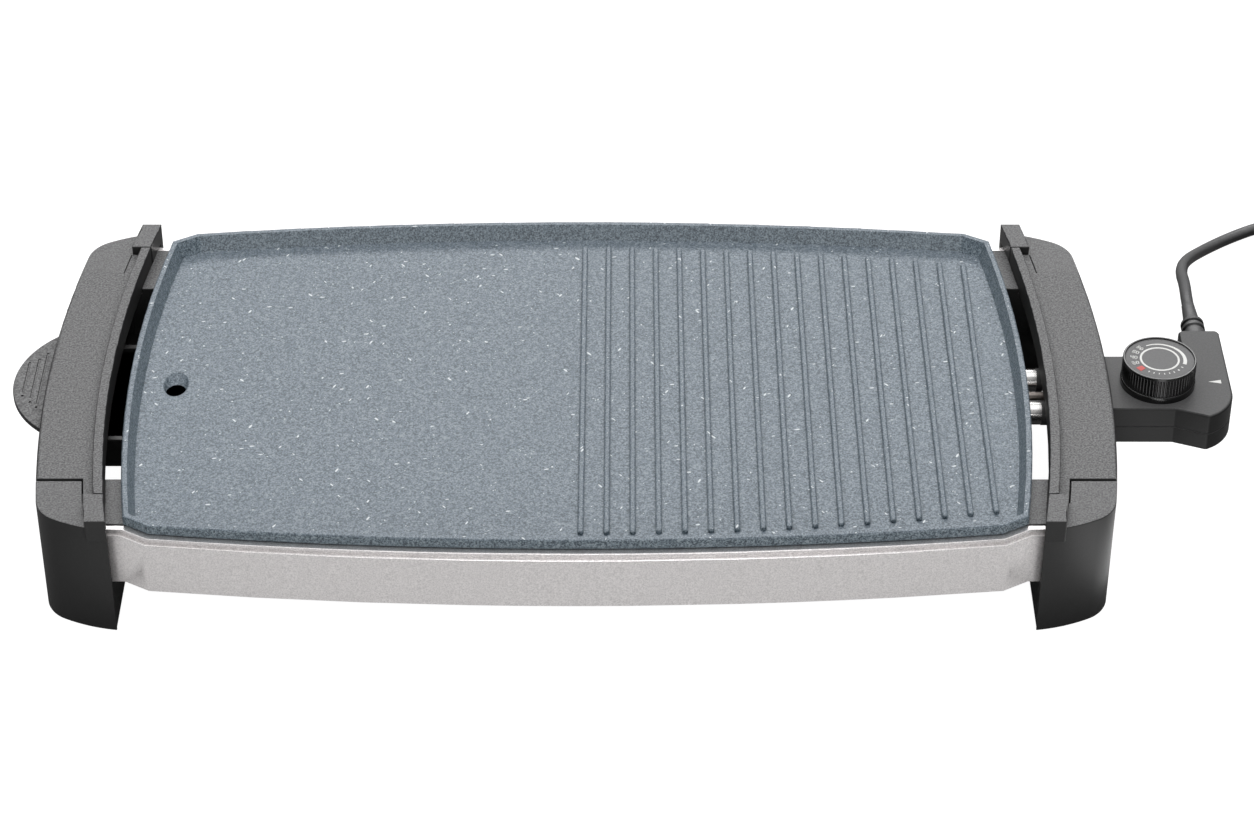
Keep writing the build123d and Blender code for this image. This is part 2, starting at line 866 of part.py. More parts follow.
def leg_shell():
    # Cap, lip block and skirt of the rear right leg.
    start = cover_half_y + seam
    cap = end_slab(cap_top - cover_thick, cap_top) & slice_y(start, end_half_y + 1)
    cap -= inner_strip(lip_block_width + seam, 0, all_above) & slice_y(start - 1, tongue_half_y + seam)
    skirt = end_slab(leg_bottom, cap_top) - end_slab(leg_bottom - 1, cap_top + 1, leg_wall)
    skirt &= slice_y(start, end_half_y + 1)
    skirt -= inner_strip(lip_block_width + seam, 0, all_above) & slice_y(start - 1, ledge_end_y)
    lip = inner_strip(lip_block_width, lip_bottom, lip_top) & slice_y(tongue_half_y + seam, end_half_y)
    lip = fillet(top_edges(lip, lip_top), lip_round)
    return cap + skirt + lip


def leg_inside():
    # Walls, ledge, shelf and tongue of the rear right leg.
    side = block((end_tip_x, end_to), (leg_side_y, leg_side_y + leg_wall), (leg_bottom, lip_bottom - seam))
    inner = block((end_tip_x, end_tip_x + leg_wall), (leg_side_y, end_half_y - leg_wall / 2),
                  (leg_bottom, ledge_bottom + 1))
    bridge = block((end_tip_x, end_to), (foot_y - foot_bridge_half, foot_y + foot_bridge_half),
                   (foot_bridge_bottom, foot_bridge_bottom + foot_bridge_thick))
    walls = ((side + bridge) & end_slab(0, all_above, leg_wall / 2)) + inner
    ledge = block((ledge_x, ledge_outer_x), (ledge_half_y, ledge_end_y), (ledge_bottom, seat_height))
    ledge -= inner_strip(ledge_clear, lip_bottom - seam, all_above) & slice_y(0, tongue_half_y + seam)
    ledge -= barrel(plate_under - 1, seat_height + 1, clear_fit - rim_inset)
    shelf = block((corner_boss_x - shelf_half, ledge_x + shelf_root),
                  (corner_boss_y - shelf_half, corner_boss_y + shelf_half),
                  (shelf_bottom, shelf_bottom + shelf_thick))
    x = (tongue_x - tongue_width / 2, tongue_x + tongue_width / 2)
    top = tongue_bottom + tongue_thick
    root = cover_half_y + tongue_root
    tongue = block(x, (tongue_y, root), (tongue_bottom, top))
    tongue += block(x, (leg_side_y, leg_side_y + leg_wall), (lip_bottom - tongue_lip, top))
    tongue += block(x, (cover_half_y + seam, root), (lip_bottom, cap_top - cover_thick / 2))
    return walls + ledge + shelf + tongue


def leg():
    body = leg_shell() + leg_inside()
    tab_out = side_y + rail_face_out + clear_fit
    body -= block((end_tip_x - 1, rail_tab_x + clear_fit), (ledge_end_y, tab_out),
                  (rail_bottom - clear_fit, seat_height))
    body -= rod(plate_screw_radius + clear_fit, shelf_bottom - 1, shelf_bottom + 6, corner_boss_x,
                corner_boss_y)
    body -= rod(small_screw_radius + clear_fit, tongue_bottom - 1, tongue_bottom + 4, tongue_x,
                cover_screw_y)
    body -= rod(foot_stem_radius + foot_stem_fit, 0, foot_bridge_bottom + foot_bridge_thick + 1, foot_x,
                foot_y)
    for x in bar_screw_x():
        body -= rod_y(small_screw_radius + clear_fit, leg_side_y - 1, leg_side_y + 5, x, bar_screw_z())
    return body


def bar_screw_x():
    return (crossbar_x - bar_screw_half, crossbar_x + bar_screw_half)


def bar_screw_z():
    return crossbar_bottom + bar_screw_rise


def crossbar(top):
    # A channel open below, with solid ends, between two legs.
    half_x = crossbar_width / 2
    half_y = leg_side_y - crossbar_gap
    x = (crossbar_x - half_x, crossbar_x + half_x)
    bar = block(x, (-half_y, half_y), (crossbar_bottom, top))
    inner_x = (x[0] + crossbar_wall, x[1] - crossbar_wall)
    inner_y = half_y - crossbar_end
    bar -= block(inner_x, (-inner_y, inner_y), (crossbar_bottom - 1, top - crossbar_wall))
    for side in (-1, 1):
        for x in bar_screw_x():
            ends = sorted((side * (half_y + 1), side * (half_y - crossbar_end + 1)))
            bar -= rod_y(small_screw_radius + screw_fit, ends[0], ends[1], x, bar_screw_z())
    return bar


def left_crossbar():
    return mirrored(crossbar(tray_bottom - sill_gap), x=-1)


def right_crossbar():
    # Carries the control's nose between two cheeks.
    bar = crossbar(control_bottom - guide_root)
    half = nose_half_y + guide_gap
    x = (crossbar_x - crossbar_width / 2, crossbar_x + crossbar_width / 2)
    bar += block(x, (-half - guide_thick, half + guide_thick), (control_bottom - guide_root - 1,
            control_bottom - sill_gap))
    for side in (-1, 1):
        y = sorted((side * half, side * (half + guide_thick)))
        bar += block(x, y, (control_bottom - guide_root, guide_top))
    return bar


def crossbar_screws():
    pieces = []
    for end_x in (-1, 1):
        for side in (-1, 1):
            for x in bar_screw_x():
                head_y = leg_side_y + leg_wall
                piece = screw(small_screw_radius, small_screw_head, 0, small_screw_head_height,
                              bar_screw_length, 0, 0)
                piece = Rot(90, 0, 0) * Pos(0, 0, -small_screw_head_height) * piece
                piece = Pos(x, head_y, bar_screw_z()) * piece
                pieces.append(mirrored(piece, end_x, side))
    return group(pieces)


def cover_screws():
    bottom = tongue_bottom - cover_screw_head_height
    piece = screw(small_screw_radius, cover_screw_head, bottom, cover_screw_head_height, cover_screw_length,
                  tongue_x, cover_screw_y)
    return group([mirrored(piece, x, y) for x in (-1, 1) for y in (-1, 1)])


def rubber_feet():
    foot = rod(foot_radius, 0, foot_height, foot_x, foot_y)
    foot = fillet(foot.faces().sort_by(Axis.Z)[0].edges(), foot_round)
    foot += rod(foot_stem_radius, foot_height / 2, foot_bridge_bottom + foot_bridge_thick + foot_stem_proud,
                foot_x, foot_y)
    return group([mirrored(foot, x, y) for x in (-1, 1) for y in (-1, 1)])


def drip_tray():
    # Drafted box, open at the top, with a narrow lip along its edge.
    x = (-tray_outer_x, -tray_inner_x)
    middle = (x[0] + x[1]) / 2
    length = x[1] - x[0]
    top = Pos(middle, 0, tray_top) * RectangleRounded(length, 2 * tray_half_y, tray_corner)
    floor = Pos(middle, 0, tray_bottom) * RectangleRounded(
        length - tray_draft, 2 * tray_half_y - tray_draft, tray_corner)
    outside = loft([floor, top])
    hollow_top = Pos(middle, 0, tray_top + 0.5) * RectangleRounded(
        length - 2 * tray_wall, 2 * (tray_half_y - tray_wall), tray_corner - 1)
    hollow_floor = Pos(middle, 0, tray_bottom + tray_wall) * RectangleRounded(
        length - tray_draft - 2 * tray_wall, 2 * (tray_half_y - tray_wall) - tray_draft, tray_corner - 1)
    lip = Pos(middle, 0, tray_top - tray_wall) * RectangleRounded(length, 2 * (tray_half_y + tray_lip),
                                                                  tray_corner + 1)
    body = outside + extrude(lip, amount=tray_wall) - loft([hollow_floor, hollow_top])
    for y in pull_rivet_y():
        body -= rod_x(rivet_radius + rivet_fit, -tray_outer_x - 1, -tray_outer_x + 5, y, rivet_height)
    return body


def pull_rivet_y():
    return (-rivet_half, rivet_half)


def tray_pull():
    # Front panel of the tray with a rounded finger ledge, grooved along its edge.
    inner_x = -tray_outer_x - pull_gap
    ledge = Wire([
        Edge.make_three_point_arc((-pull_chord_x, pull_half_y), (-pull_tip_x, 0),
                                  (-pull_chord_x, -pull_half_y)),
        Edge.make_line((-pull_chord_x, -pull_half_y), (inner_x, -pull_half_y)),
        Edge.make_line((inner_x, -pull_half_y), (inner_x, pull_half_y)),
        Edge.make_line((inner_x, pull_half_y), (-pull_chord_x, pull_half_y)),
    ])
    bottom = pull_top - pull_thick
    body = extrude(Pos(0, 0, bottom) * Face(ledge), amount=pull_thick, dir=(0, 0, 1))
    body = fillet(top_edges(body, pull_top).sort_by(Axis.X)[0], pull_round)
    body += block((-pull_chord_x, inner_x), (-pull_half_y, pull_half_y), (tray_bottom, pull_top))
    half = pull_groove_width / 2
    for out, front, rear in zip(pull_grooves, pull_groove_front, pull_groove_rear):
        x = out - pull_tip_x
        body -= block((x - half, x + half), (-front, rear), (pull_top - pull_groove_depth, pull_top + 1))
    for out, front in zip(pull_grooves, pull_dimple_front):
        body -= rod(pull_dimple_radius, pull_top - pull_dimple_depth, pull_top + 1, out - pull_tip_x,
                    -front)
    for y in pull_rivet_y():
        body -= rod_x(rivet_radius + rivet_fit, -pull_chord_x - 1, -tray_outer_x + 1, y, rivet_height)
    return body


def pull_rivets():
    rivets = []
    for y in pull_rivet_y():
        rivet = rod_x(rivet_radius, -pull_chord_x, -tray_outer_x + tray_draft, y, rivet_height)
        rivet += rod_x(rivet_radius * 2, -pull_chord_x - rivet_head, -pull_chord_x, y, rivet_height)
        rivets.append(rivet)
    return group(rivets)


def tray_runners():
    # Two angled strips under the plate that hold the tray's inner end.
    web = block(runner_x, (runner_web_y, runner_web_y + runner_thick),
                (tray_bottom - sill_gap - runner_thick, runner_top))
    top = block(runner_x, (runner_web_y, runner_web_y + runner_flange),
                (runner_top - runner_thick, runner_top))
    low = tray_bottom - sill_gap
    foot = block(runner_x, (runner_web_y - runner_foot, runner_web_y + runner_thick),
                 (low - runner_thick, low))
    runner = web + top + foot
    for x in runner_screw_x:
        runner -= rod(small_screw_radius + clear_fit, runner_top - 4, runner_top + 1, x, runner_screw_y)
    return group([runner, mirrored(runner, y=-1)])


def control_face(inset=0.0):
    # Plan of the control: a nose, a body with a rounded belly and an arm to the rear.
    points = [
        (nose_inner_x, nose_half_y), (nose_inner_x, -nose_half_y), (nose_front_x, -nose_half_y),
        (belly_x, -belly_y),
    ]
    edges = [Edge.make_line(a, b) for a, b in zip(points, points[1:])]
    edges.append(Edge.make_tangent_arc((shoulder_x, -shoulder_y), (0, -1), (belly_x, -belly_y)))
    points = [
        (shoulder_x, -shoulder_y), (shoulder_x, arm_rear_y), (arm_left_x, arm_rear_y),
        (arm_left_x, nose_half_y), (nose_inner_x, nose_half_y),
    ]
    edges += [Edge.make_line(a, b) for a, b in zip(points, points[1:])]
    face = Face(Wire(edges))
    corners = [(shoulder_x, arm_rear_y), (arm_left_x, arm_rear_y), (nose_inner_x, nose_half_y),
               (nose_inner_x, -nose_half_y), (arm_left_x, nose_half_y), (nose_front_x, -nose_half_y),
               (belly_x, -belly_y)]
    for corner in corners:
        vertex = min(face.vertices(), key=lambda v: (v.X - corner[0]) ** 2 + (v.Y - corner[1]) ** 2)
        face = fillet(vertex, housing_round).faces()[0]
    if inset:
        face = Face(face.outer_wire().offset_2d(-inset))
    return face


def control_slab(bottom, top, inset=0.0):
    return extrude(Pos(0, 0, bottom) * control_face(inset), amount=top - bottom, dir=(0, 0, 1))


def housing_openings():
    # Holes through both halves for the contact sleeves, the probe and the cord's collar.
    holes = at_terminals(sleeve_radius + hole_fit, nose_inner_x - 1, nose_inner_x + 5)
    holes.append(rod_x(probe_radius + hole_fit, nose_inner_x - 1, nose_inner_x + 5, 0, element_height))
    holes.append(rod_y(relief_hole_radius, arm_rear_y - 5, arm_rear_y + 1, cord_x, cord_height))
    return holes


def upper_housing():
    body = control_slab(control_split + split_gap / 2, control_top)
    body = chamfer(top_edges(body, control_top), housing_edge)
    body -= control_slab(control_split - 1, control_top - control_wall, control_wall)
    low = control_split + split_gap / 2
    body += [rod(post_radius, low, control_top - 1, x, y) for x, y in post_places]
    body -= [rod(housing_screw_radius + screw_fit, low - 1, low + housing_screw_bite + 1, x, y) for x,
             y in post_places]
    body -= rod(spindle_radius + spindle_fit, control_top - 5, control_top + 1, dial_x)
    return body - housing_openings()


def lower_housing():
    high = control_split - split_gap / 2
    body = control_slab(control_bottom, high)
    body = chamfer(body.edges().filter_by_position(Axis.Z, control_bottom - 0.01, control_bottom + 0.01),
                   housing_edge)
    body -= control_slab(control_bottom + control_wall, high + 1, control_wall)
    body += [rod(post_radius, control_bottom + 1, high, x, y) for x, y in post_places]
    for x, y in post_places:
        body -= rod(housing_screw_radius + clear_fit, control_bottom - 1, high + 1, x, y)
        body -= rod(housing_screw_head + post_head_fit, control_bottom - 1, control_bottom + post_sink, x,
                    y)
    for y in (-base_screw_y, base_screw_y):
        body += rod(base_post_radius, control_bottom + 1, base_bottom, base_screw_x, y)
        body -= rod(inner_screw_radius + screw_fit, control_bottom + control_wall, base_bottom + 1,
                    base_screw_x, y)
    for x in clamp_bar_x:
        body += rod(clamp_post_radius, control_bottom + 1, clamp_bar_bottom, x, clamp_bar_y)
        body -= rod(inner_screw_radius + screw_fit, clamp_bar_bottom - clamp_bar_screw_length,
                    clamp_bar_bottom + 1,
                    x, clamp_bar_y)
    return body - housing_openings()


def housing_screws():
    seat = control_bottom + post_sink
    length = control_split + housing_screw_bite - seat
    return group([screw(housing_screw_radius, housing_screw_head, seat - housing_screw_head_height,
                        housing_screw_head_height, length, x, y) for x, y in post_places])


def turned_screw(radius, head_radius, head_height, length, top, x, y):
    # A screw driven downwards, its head's top at the given height.
    piece = screw(radius, head_radius, 0, head_height, length, 0, 0)
    return Pos(x, y, top) * Rot(180, 0, 0) * piece


def contact_sleeves():
    return group(at_terminals(sleeve_radius, sleeve_start, sleeve_end, pin_radius + pin_fit))


def probe_tube():
    tube = rod_x(probe_radius, probe_tip_x, probe_end_x, 0, element_height)
    tube = fillet(tube.edges().sort_by(Axis.X)[0], probe_tip_round)
    return tube - rod_x(rod_radius + rod_fit, probe_tip_x + rod_tip_wall, probe_end_x + 1, 0,
                        element_height)


def sensing_rod():
    return rod_x(rod_radius, probe_tip_x + rod_tip_wall, base_x[0] - 1, 0, element_height)


def probe_bracket():
    plate = block((bracket_x, bracket_x + bracket_thick), (-bracket_half_y, bracket_half_y),
                  (control_bottom + control_wall + hole_fit, bracket_top))
    return plate - rod_x(probe_radius + screw_fit, bracket_x - 1, bracket_x + 5, 0, element_height)


def thermostat_base():
    body = block(base_x, (-base_half_y, base_half_y), (base_bottom, base_top))
    for y in (-base_screw_y, base_screw_y):
        body -= rod(inner_screw_radius + inner_screw_clear, base_bottom - 1, base_top + 1, base_screw_x, y)
    return body


def thermostat_screws():
    top = base_top + inner_screw_head_height
    return group([turned_screw(inner_screw_radius, inner_screw_head, inner_screw_head_height,
                               base_screw_length, top, base_screw_x, y)
                  for y in (-base_screw_y, base_screw_y)])


def contact_blade(bottom):
    return block(base_x, (-blade_half_y, blade_half_y), (bottom, bottom + blade_thick))


def blade_spacer():
    low = base_top + blade_thick
    return block((base_x[1] - blade_root, base_x[1]), (-blade_half_y, blade_half_y), (low, low + blade_gap))


def contact_points():
    low = base_top + blade_thick
    x = base_x[0] + point_step
    top = low + blade_gap
    return group([rod(point_radius, low, low + point_height, x),
                  rod(point_radius, top - point_height, top, x)])


def dial_collar():
    top = control_top + collar_height
    ring = rod(collar_radius, control_top, top, dial_x)
    ring = fillet(ring.faces().sort_by(Axis.Z)[-1].edges(), collar_round)
    return ring - rod(spindle_radius + spindle_fit + collar_bore_gap, control_top - 1, top + 1, dial_x)


def dial_knob():
    low = control_top + collar_height + knob_gap
    body = rod(knob_radius, low, knob_top, dial_x)
    body = chamfer(body.faces().sort_by(Axis.Z)[-1].edges(), knob_edge)
    body -= rod(disc_radius + disc_fit, knob_top - disc_thick - disc_fit, knob_top + 1, dial_x)
    body -= rod(knob_radius - knob_wall, low - 1, knob_top - knob_floor, dial_x)
    body += rod(spindle_radius + knob_hub, low, knob_top - knob_floor + 0.5, dial_x)
    body -= rod(spindle_radius + knob_press, low - 1, knob_top - knob_floor + 0.5, dial_x)
    flute_y = knob_radius + flute_radius - flute_depth
    flute = rod(flute_radius, low - 1, knob_top + 1, flute_y)
    flutes = [Pos(dial_x, 0, 0) * Rot(0, 0,
                                      360 * index / flute_count) * flute for index in range(flute_count)]
    return body - flutes


def dial_disc():
    return rod(disc_radius, knob_top - disc_thick, knob_top, dial_x)


def dial_spindle():
    body = rod(spindle_radius, spindle_bottom, knob_top - knob_floor, dial_x)
    groove = rod(spindle_radius + 1, clip_bottom(), clip_bottom() + clip_thick, dial_x)
    groove -= rod(spindle_radius - clip_groove, clip_bottom() - 1, clip_bottom() + 2, dial_x)
    return body - groove


def clip_bottom():
    return control_top - control_wall - clip_gap - clip_thick


def spindle_clip():
    low = clip_bottom() + clip_fit
    inner = spindle_radius - clip_groove + clip_fit
    mouth = inner * 0.72
    ring = rod(clip_radius, low, low + clip_thick - 2 * clip_fit, dial_x)
    ring -= rod(inner, low - 1, low + 2, dial_x)
    return ring - block((dial_x, dial_x + clip_radius + 1), (-mouth, mouth), (low - 1, low + 2))


def tube_along(points, radius, radii):
    path = FilletPolyline(*points, radius=radii)
    start = Plane(origin=path @ 0, z_dir=path % 0)
    return sweep(start * Circle(radius), path=path)


def inner_leads():
    # Two leads from the cord's inner end to the contact sleeves.
    leads = []
    for side, turn_x in ((1, cord_x - 5.5), (-1, cord_x - 2.5)):
        points = [
            (cord_x - side * 1.6, clamp_bar_y - 5, cord_height),
            (turn_x, 20.0, element_height + 2),
            (turn_x - 8, side * 11.0, element_height + 3),
            (probe_end_x, side * 12.0, element_height + 3),
            (sleeve_end + 1.2, side * terminal_half, element_height + 1.5),
        ]
        leads.append(tube_along(points, lead_radius, [lead_bend] * 3))
    return group(leads)


def cord_clamp():
    x = (clamp_bar_x[0] - clamp_bar_end, clamp_bar_x[1] + clamp_bar_end)
    half = clamp_bar_width / 2
    bar = block(x, (clamp_bar_y - half, clamp_bar_y + half),
                (clamp_bar_bottom, clamp_bar_bottom + clamp_bar_thick))
    for x in clamp_bar_x:
        hole = inner_screw_radius + inner_screw_clear
        bar -= rod(hole, clamp_bar_bottom - 1, clamp_bar_bottom + clamp_bar_thick + 1, x, clamp_bar_y)
    return bar


def cord_clamp_screws():
    top = clamp_bar_bottom + clamp_bar_thick + inner_screw_head_height
    return group([turned_screw(inner_screw_radius, clamp_screw_head, inner_screw_head_height,
                               clamp_bar_screw_length, top, x, clamp_bar_y) for x in clamp_bar_x])


def strain_relief():
    # Turned shape along the cord: a tail inside the housing, a collar and a ringed taper.
    inside = arm_rear_y - 2 * control_wall - split_gap
    tail = rod_y(cord_radius, clamp_bar_y - relief_tail, arm_rear_y, cord_x, cord_height)
    tail += rod_y(relief_hole_radius + relief_flange, inside, arm_rear_y - control_wall - hole_fit,
                  cord_x, cord_height)
    tail += rod_y(relief_hole_radius - hole_fit, inside, arm_rear_y + 1, cord_x, cord_height)
    collar_end = arm_rear_y + relief_collar_length
    collar = rod_y(relief_collar_radius, arm_rear_y + split_gap, collar_end, cord_x, cord_height)
    collar = fillet(collar.edges().sort_by(Axis.Y)[-1], collar_round)
    length = relief_end_y - collar_end + 1
    taper = Cone(relief_collar_radius - 0.9, relief_tip_radius, length)
    taper = Pos(cord_x, relief_end_y - length / 2, cord_height) * Rot(-90, 0, 0) * taper
    step = (length - 4) / relief_rings
    for index in range(relief_rings):
        y = collar_end + ring_width + step * index
        ring = rod_y(2 * relief_collar_radius, y, y + ring_width, cord_x, cord_height)
        taper -= ring - rod_y(relief_tip_radius - ring_depth, y - 1, y + ring_width + 1, cord_x,
                              cord_height)
    return tail + collar + taper


def cord_radii():
    # Each bend is as large as its two runs allow.
    points = [Vector(*point) for point in cord_route]
    radii = []
    for a, b, c in zip(points, points[1:], points[2:]):
        turn = math.radians((b - a).get_angle(c - b))
        radii.append(0.45 * min((b - a).length, (c - b).length) / math.tan(turn / 2))
    return radii


def power_cord():
    radii = cord_radii()
    path = FilletPolyline(*cord_route, radius=radii)
    cord = sweep(Plane(origin=path @ 0, z_dir=path % 0) * Circle(cord_radius), path=path)
    section = math.pi * cord_radius ** 2
    print("cord bends", [round(value) for value in radii])
    print("cord tube length", round(path.length, 1), "volume share",
          round(cord.volume / (section * path.length), 4))
    wound = coil_lead + plug_lead + coil_turns * 2 * math.pi * coil_turn_radius
    print("cord length in all", round(path.length + wound))
    return cord


def cord_coil():
    # The outer shape of the wound turns, with a short lead at each end.
    ring = rod(coil_turn_radius + coil_half_width, coil_floor, coil_floor + coil_height, coil_x, coil_y)
    ring -= rod(coil_turn_radius - coil_half_width, coil_floor - 1, coil_floor + coil_height + 1, coil_x,
                coil_y)
    ring = fillet(ring.edges(), coil_round)
    y = cord_route[-1][1]
    ring += rod_x(cord_radius, cord_route[-1][0] + coil_gap, coil_x, y, cord_rest_height)
    return ring + rod_x(cord_radius, coil_x, plug_x, y, plug_height)


def coil_tie():
    # A strap over the wound turns, on the side away from the griddle.
    x = coil_x + coil_turn_radius
    half = coil_half_width + tie_gap
    top = coil_floor + coil_height + tie_gap
    outer = block((x - half - tie_thick, x + half + tie_thick),
                  (coil_y - tie_width / 2, coil_y + tie_width / 2),
                  (coil_floor + tie_gap, top + tie_thick))
    return outer - block((x - half, x + half), (coil_y - tie_width, coil_y + tie_width), (-1, top))


def plug_body():
    y = cord_route[-1][1]
    boot = Pos(plug_x + plug_boot / 2, y, plug_height) * Rot(0, 90, 0) * Cone(
        cord_radius + plug_boot_grip, plug_boot_radius, plug_boot)
    start = Plane(origin=(plug_x + plug_boot - plug_overlap, y, plug_height), x_dir=(0, 1, 0),
                  z_dir=(1, 0, 0))
    near = start * RectangleRounded(plug_thick - 1, plug_thick - 2, 5)
    wide = start.offset(plug_swell) * RectangleRounded(plug_width, plug_thick, 6)
    far = start.offset(plug_length) * RectangleRounded(plug_width - 2, plug_thick - 1, 6)
    body = loft([near, wide]) + loft([wide, far])
    body += boot
    end = plug_x + plug_boot - plug_overlap + plug_length
    for side in (-1, 1):
        body -= rod_x(plug_shank_radius + screw_fit, end - plug_shank, end + 1, y + side * plug_pin_half,
                      plug_height)
    return body


def plug_pins():
    y = cord_route[-1][1]
    end = plug_x + plug_boot - plug_overlap + plug_length
    pins = []
    for side in (-1, 1):
        pin_y = y + side * plug_pin_half
        pin = rod_x(plug_pin_radius, end + screw_fit, end + plug_pin_length, pin_y, plug_height)
        pin = fillet(pin.edges().sort_by(Axis.X)[-1], plug_pin_round)
        pins.append(pin + rod_x(plug_shank_radius, end - plug_shank, end + screw_fit, pin_y, plug_height))
    return group(pins)


def build():
    right_leg = leg()
    rail = rear_rail()
    cover = handle_cover()
    parts = {
        "griddle_plate": griddle_plate(),
        "heating_element": heating_element(),
        "cold_end_sleeves": cold_end_sleeves(),
        "terminal_insulators": terminal_insulators(),
        "terminal_pins": terminal_pins(),
        "element_clamps": element_clamps(),
        "element_clamp_screws": element_clamp_screws(),
        "rear_rail": rail,
        "front_rail": mirrored(rail, y=-1),
        "right_handle_cover": cover,
        "left_handle_cover": mirrored(cover, x=-1),
        "rear_right_leg": right_leg,
        "front_right_leg": mirrored(right_leg, y=-1),
        "rear_left_leg": mirrored(right_leg, x=-1),
        "front_left_leg": mirrored(right_leg, x=-1, y=-1),
        "left_crossbar": left_crossbar(),
        "right_crossbar": right_crossbar(),
        "tray_runners": tray_runners(),
        "runner_screws": runner_screws(),
        "plate_screws": plate_screws(),
        "cover_screws": cover_screws(),
        "crossbar_screws": crossbar_screws(),
        "rubber_feet": rubber_feet(),
        "drip_tray": drip_tray(),
        "tray_pull": tray_pull(),
        "pull_rivets": pull_rivets(),
        "control_upper_housing": upper_housing(),
        "control_lower_housing": lower_housing(),
        "housing_screws": housing_screws(),
        "contact_sleeves": contact_sleeves(),
        "probe_tube": probe_tube(),
        "sensing_rod": sensing_rod(),
        "probe_bracket": probe_bracket(),
        "thermostat_base": thermostat_base(),
        "thermostat_screws": thermostat_screws(),
        "fixed_blade": contact_blade(base_top),
        "moving_blade": contact_blade(base_top + blade_thick + blade_gap),
        "blade_spacer": blade_spacer(),
        "contact_points": contact_points(),
        "dial_collar": dial_collar(),
        "dial_knob": dial_knob(),
        "dial_disc": dial_disc(),
        "dial_spindle": dial_spindle(),
        "spindle_clip": spindle_clip(),
        "inner_leads": inner_leads(),
        "cord_clamp": cord_clamp(),
        "cord_clamp_screws": cord_clamp_screws(),
        "strain_relief": strain_relief(),
        "power_cord": power_cord(),
        "cord_coil": cord_coil(),
        "coil_tie": coil_tie(),
        "plug_body": plug_body(),
        "plug_pins": plug_pins(),
    }
    for name, shape in parts.items():
        save(name, shape)


build()
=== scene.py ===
import json
import math

import bmesh
import bpy
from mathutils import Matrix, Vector


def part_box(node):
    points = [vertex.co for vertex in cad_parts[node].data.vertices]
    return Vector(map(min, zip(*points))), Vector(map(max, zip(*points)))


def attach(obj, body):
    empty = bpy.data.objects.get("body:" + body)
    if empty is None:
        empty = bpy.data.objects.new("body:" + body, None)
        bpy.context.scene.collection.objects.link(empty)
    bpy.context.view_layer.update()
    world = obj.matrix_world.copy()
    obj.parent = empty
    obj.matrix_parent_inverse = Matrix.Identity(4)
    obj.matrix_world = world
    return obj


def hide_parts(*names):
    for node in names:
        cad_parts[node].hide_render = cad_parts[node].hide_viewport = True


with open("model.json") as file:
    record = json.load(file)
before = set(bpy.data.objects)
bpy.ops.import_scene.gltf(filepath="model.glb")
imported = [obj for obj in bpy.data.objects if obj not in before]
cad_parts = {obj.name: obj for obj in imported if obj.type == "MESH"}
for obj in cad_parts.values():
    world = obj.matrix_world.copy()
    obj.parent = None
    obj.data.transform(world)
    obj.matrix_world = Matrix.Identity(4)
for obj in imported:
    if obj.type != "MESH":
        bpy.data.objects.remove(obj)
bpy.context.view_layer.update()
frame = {"nodes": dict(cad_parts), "record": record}
cadNodes = frame["nodes"]
print("frame loaded, nodes:", len(cadNodes))


# Node helpers
def addNode(tree, kind, inputs=None, **settings):
    made = tree.nodes.new(kind)
    for name, value in settings.items():
        setattr(made, name, value)
    for name, value in (inputs or {}).items():
        if isinstance(value, bpy.types.NodeSocket):
            tree.links.new(value, made.inputs[name])
        else:
            made.inputs[name].default_value = value
    return made


def addMath(tree, operation, first, second=0.5):
    made = addNode(tree, "ShaderNodeMath", {0: first, 1: second}, operation=operation)
    return made.outputs[0]


def addRamp(tree, factor, positions, shades):
    made = addNode(tree, "ShaderNodeValToRGB", {"Fac": factor})
    steps = made.color_ramp.elements
    while len(steps) < len(positions):
        steps.new(0.5)
    for step, position, shade in zip(steps, positions, shades):
        step.position = position
        step.color = (*shade, 1.0)
    return made.outputs["Color"]


def addSpread(tree, value, low, high):
    # Spreads 0 to 1 over low to high
    made = addNode(tree, "ShaderNodeMapRange", {"Value": value, "To Min": low, "To Max": high})
    return made.outputs["Result"]


def addMixColor(tree, factor, first, second):
    # Sockets 6 and 7 are the two colours, and output 2 the mixed one
    made = addNode(tree, "ShaderNodeMix", {0: factor, 6: first, 7: second}, data_type="RGBA")
    return made.outputs[2]


def newGroup(name, inputs, outputs):
    tree = bpy.data.node_groups.new(name, "ShaderNodeTree")
    for label, kind, value in inputs:
        socket = tree.interface.new_socket(label, in_out="INPUT", socket_type=kind)
        socket.default_value = value
    for label, kind in outputs:
        tree.interface.new_socket(label, in_out="OUTPUT", socket_type=kind)
    return tree, tree.nodes.new("NodeGroupInput").outputs, tree.nodes.new("NodeGroupOutput").inputs


def useGroup(tree, group, inputs):
    return addNode(tree, "ShaderNodeGroup", inputs, node_tree=group).outputs


def newMaterial(name, roughness, metallic=0.0, color=(0.5, 0.5, 0.5), specular=0.5):
    material = bpy.data.materials.new(name)
    material.use_nodes = True
    shader = material.node_tree.nodes["Principled BSDF"]
    shader.inputs["Base Color"].default_value = (*color, 1.0)
    shader.inputs["Roughness"].default_value = roughness
    shader.inputs["Metallic"].default_value = metallic
    shader.inputs["Specular IOR Level"].default_value = specular
    return material, material.node_tree, shader


def addBump(tree, shader, height, strength, distance=0.0001):
    bump = addNode(tree, "ShaderNodeBump", {"Height": height, "Strength": strength, "Distance": distance})
    tree.links.new(bump.outputs["Normal"], shader.inputs["Normal"])


# Camera, floor and lights
studio = {
    "eye": (0.00265, -1.5437, 1.2055),
    "tilt": 52.9,
    "lens": 100,
    "sensorWidth": 36,
    "nearest": 0.05,
    "furthest": 50,
    "floorSize": 16.0,
    "floorShade": (0.30, 0.30, 0.30),
    "floorRoughness": 0.9,
    "floorShine": 0.1,
    "floorGlow": 0.97,
    "skyLow": (0.10, 0.10, 0.105),
    "skyHigh": (1.0, 1.0, 1.0),
    "skyHeights": (0.15, 0.75),
    "skyStrength": 0.58,
}
